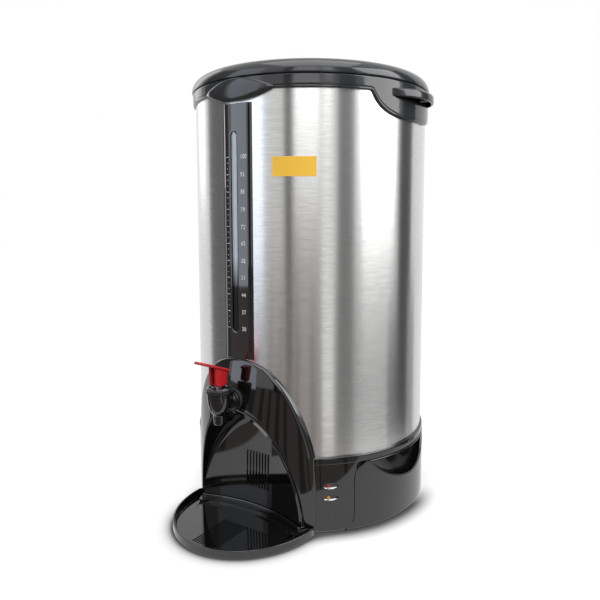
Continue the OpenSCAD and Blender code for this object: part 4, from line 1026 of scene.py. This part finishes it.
spring = {"turns": 5, "wire": 0.6, "lift": 2.7, "fixedEnd": 164.0}  # the stem pushes its lower end up
springLow, springHigh = boxOf("valve_spring")
springR = springHigh.x - spring["wire"]


def springRing(t):
    a = 2 * math.pi * spring["turns"] * t
    z = springLow.z + spring["wire"] + (springHigh.z - springLow.z - 2 * spring["wire"]) * t
    ring = []
    for b in steps(0, 2 * math.pi, 12)[:-1]:
        r = springR + spring["wire"] * math.cos(b)
        ring.append(Vector((r * math.cos(a), tapY + r * math.sin(a), z + spring["wire"] * math.sin(b))))
    return ring


bm = loft([springRing(t) for t in steps(0, 1, 160)])
coil = finishPiece("valveSpring", bm, "valve_spring")
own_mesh(coil)
print("tap done")


# stage: white floor and backdrop light, lamps, cards that only reflections see, camera

stageSet = {"floorHalf": 6.0, "floorTone": 0.05, "worldFill": 0.55, "glossLift": 0.9, "cameraTurn": 34,
            "shadow": (0.026, 0.6, 0.985, 0.03), "shadowFade": (0.02, 0.085, 0.12)}


def whiteFloor():
    material, tree, shader = startMaterial("paleFloor")
    tone = stageSet["floorTone"]
    toneFrom(tree, shader, noiseOn(tree, 3), (tone - 0.01,) * 3, (tone + 0.01,) * 3)
    reach, low, high, dark = stageSet["shadow"]
    near = nodeOn(tree, "AmbientOcclusion", {"Distance": reach})["AO"]  # painted shadow, darkened by ambient occlusion, where the urn meets the table
    shadow = rangeOn(tree, near, (low, high), (dark, 1))
    place = nodeOn(tree, "TexCoord", {})["Object"]
    toCamera = around(1, stageSet["cameraTurn"], 0)
    ahead = nodeOn(tree, "VectorMath", {0: place, 1: toCamera}, operation="DOT_PRODUCT")["Value"]
    fadeFrom, fadeTo, least = stageSet["shadowFade"]  # the painted shadow fades out towards the back by place on the floor, so it lies in front as if lit from behind
    fade = rangeOn(tree, ahead, (fadeFrom, fadeTo), (least, 1), "SMOOTHSTEP")
    shade = nodeOn(tree, "Mix", {"Factor": fade, "A": 1, "B": shadow})["Result"]
    path = nodeOn(tree, "LightPath", {})
    seen = mathOn(tree, "MAXIMUM", path["Is Camera Ray"], path["Is Transmission Ray"])
    shine = mathOn(tree, "MULTIPLY_ADD", path["Is Glossy Ray"], stageSet["glossLift"],
                   mathOn(tree, "MULTIPLY", seen, shade))
    feed(tree, shader, {"Roughness": 0.9, "Specular IOR Level": 0.0, "Emission Color": (1, 1, 1, 1),
                        "Emission Strength": shine})
    return material


def stageMesh(name, bm, material, shown):
    mesh = bpy.data.meshes.new(name)
    bm.to_mesh(mesh)
    bm.free()
    mesh.materials.append(material)
    card = bpy.data.objects.new(name, mesh)
    bpy.context.scene.collection.objects.link(card)
    if not shown:  # only gloss sees it
        card.visible_camera = False
        card.visible_diffuse = False
        card.visible_shadow = False
        card.visible_transmission = False


def cardTone(name, colour):
    material = bpy.data.materials.new(name)
    material.use_nodes = True
    tree = material.node_tree
    tree.nodes.remove(tree.nodes["Principled BSDF"])
    glow = nodeOn(tree, "Emission", {"Color": (*colour, 1)})["Emission"]
    feed(tree, tree.nodes["Material Output"], {"Surface": glow})
    return material


bm = bmesh.new()
bmesh.ops.create_grid(bm, x_segments=1, y_segments=1, size=stageSet["floorHalf"])
stageMesh("floor", bm, whiteFloor(), True)

# the dim room beyond the table's edge, in streaks
room = {"edgeAway": 0.237, "edgeTurn": 26.0, "reach": 3.4, "lift": 0.002, "tone": (0.3, 0.26, 0.245),
        "shine": (1.12, 0.45),
        "turns": [-58, -16, -10, -4, 0, 5, 8, 13, 17, 21, 24, 33.5, 37.5, 40, 41, 58, 61, 74, 78, 110]}
edgeTurn = math.radians(room["edgeTurn"])
for i, (turnFrom, turnTo) in enumerate(zip(room["turns"], room["turns"][1:])):
    rings = []
    for turn in steps(turnFrom, turnTo, 8):
        edge = room["edgeAway"] / math.cos(math.radians(turn) - edgeTurn)
        rings.append([around(edge, turn, room["lift"]), around(room["reach"], turn, room["lift"])])
    tone = cardTone("roomTone%d" % i, [c * room["shine"][i % 2] for c in room["tone"]])
    stageMesh("room%d" % i, loft(rings, wrap=False, caps=False), tone, False)

# what the steel mirrors: turn from and to, where it starts on the floor, foot and top of its wall, tone
mirrored = [
    ("window", -46, -12, None, 0.0, 2.6, (1.9, 2.05, 2.3)),
    ("leftDark", -84, -50, 0.15, 0, 2.6, (0.17, 0.17, 0.175)),
    ("frontDip", 9, 16.5, None, -0.2, 2.6, (0.06, 0.056, 0.055)),
    ("frontSky", 18.5, 42, None, 0.7, 2.8, (2.6, 2.6, 2.6)),
    ("frontLow", 17, 43, None, -0.2, 0.4, (0.15, 0.145, 0.14)),
    ("corner", 45, 56.5, 0.2, 0, 2.6, (0.95, 0.95, 0.95)),
    ("rightDip", 59.5, 76, 0.2, 0, 2.6, (0.2, 0.2, 0.2)),
    ("rightFloor", 76, 113, 0.2, 0, 0, (0.36, 0.36, 0.36)),
    ("edgeFloor", 114, 148, 0.2, 0, 0, (0.07, 0.07, 0.07)),
    ("edgeDark", 129, 151, None, -0.1, 2.6, (0.08, 0.08, 0.08)),
    ("backFloor", 149, 162, 0.2, 0, 0, (0.4, 0.4, 0.4)),
]
cards = {"away": 2.2, "lift": 0.004, "swing": 0.085}
cameraTurn = stageSet["cameraTurn"]
for name, turnFrom, turnTo, floorFrom, foot, top, tone in mirrored:
    rings = []
    for turn in steps(turnFrom, turnTo, 12):
        lookTurn = cameraTurn - cards["swing"] * (turn - cameraTurn)  # from the steel to the camera
        start, go = around(jacketR * mm, (turn + lookTurn) / 2, 0), around(1, turn, 0)
        rows = [start + go * floorFrom + Vector((0, 0, cards["lift"]))] if floorFrom else []
        rows.append(start + go * cards["away"] + Vector((0, 0, cards["lift"] if floorFrom else foot)))
        if top:
            rows.append(start + go * cards["away"] + Vector((0, 0, top)))
        rings.append(rows)
    stageMesh(name, loft(rings, wrap=False, caps=False), cardTone(name + "Tone", tone), False)

world = bpy.data.worlds.new("studio")
bpy.context.scene.world = world
world.use_nodes = True
tree = world.node_tree
path = nodeOn(tree, "LightPath", {})
seen = mathOn(tree, "MAXIMUM", path["Is Camera Ray"], path["Is Glossy Ray"])
through = mathOn(tree, "MAXIMUM", seen, path["Is Transmission Ray"])
strength = rangeOn(tree, through, (0, 1), (stageSet["worldFill"], 1))
feed(tree, tree.nodes["Background"], {"Color": (1, 1, 1, 1), "Strength": strength})

# name, turn, distance, height, size, power; all look at the urn's middle
lampSet = [
    ("sideBox", 102, 1.9, 1.25, (1.5, 1.7), 34),
    ("cornerBox", 49.5, 2.1, 1.4, (0.35, 1.4), 3),
    ("leftBox", -98, 2.0, 1.2, (0.7, 1.6), 4),
    ("topBox", 40, 0.5, 2.3, (1.8, 1.8), 22),
    ("frontFill", 5, 2.0, 1.1, (1.2, 1.2), 12),
]
lampAim = Vector((0, 0, 0.25))
for name, turn, distance, height, size, power in lampSet:
    lamp = bpy.data.lights.new(name, "AREA")
    lamp.shape = "RECTANGLE"
    lamp.size, lamp.size_y = size
    lamp.energy = power
    holder = bpy.data.objects.new(name, lamp)
    holder.visible_glossy = name != "frontFill"  # the fill shows in no reflection
    holder.location = around(distance, turn, height)
    holder.rotation_mode = "QUATERNION"
    holder.rotation_quaternion = (lampAim - holder.location).to_track_quat("-Z", "Y")
    bpy.context.scene.collection.objects.link(holder)

cameraSet = {"place": (0.4311, -0.6408, 0.3529), "look": (-0.55275, 0.82786, -0.09548), "lens": 35.75,
             "shift": (-0.0214, -0.0501)}
lensData = bpy.data.cameras.new("camera")
lensData.sensor_width = 36
lensData.lens = cameraSet["lens"]
lensData.shift_x, lensData.shift_y = cameraSet["shift"]
lensData.clip_start = 0.01
camera = bpy.data.objects.new("camera", lensData)
camera.location = cameraSet["place"]
camera.rotation_mode = "QUATERNION"
camera.rotation_quaternion = Vector(cameraSet["look"]).to_track_quat("-Z", "Y")
bpy.context.scene.collection.objects.link(camera)
bpy.context.scene.camera = camera
print("stage done")
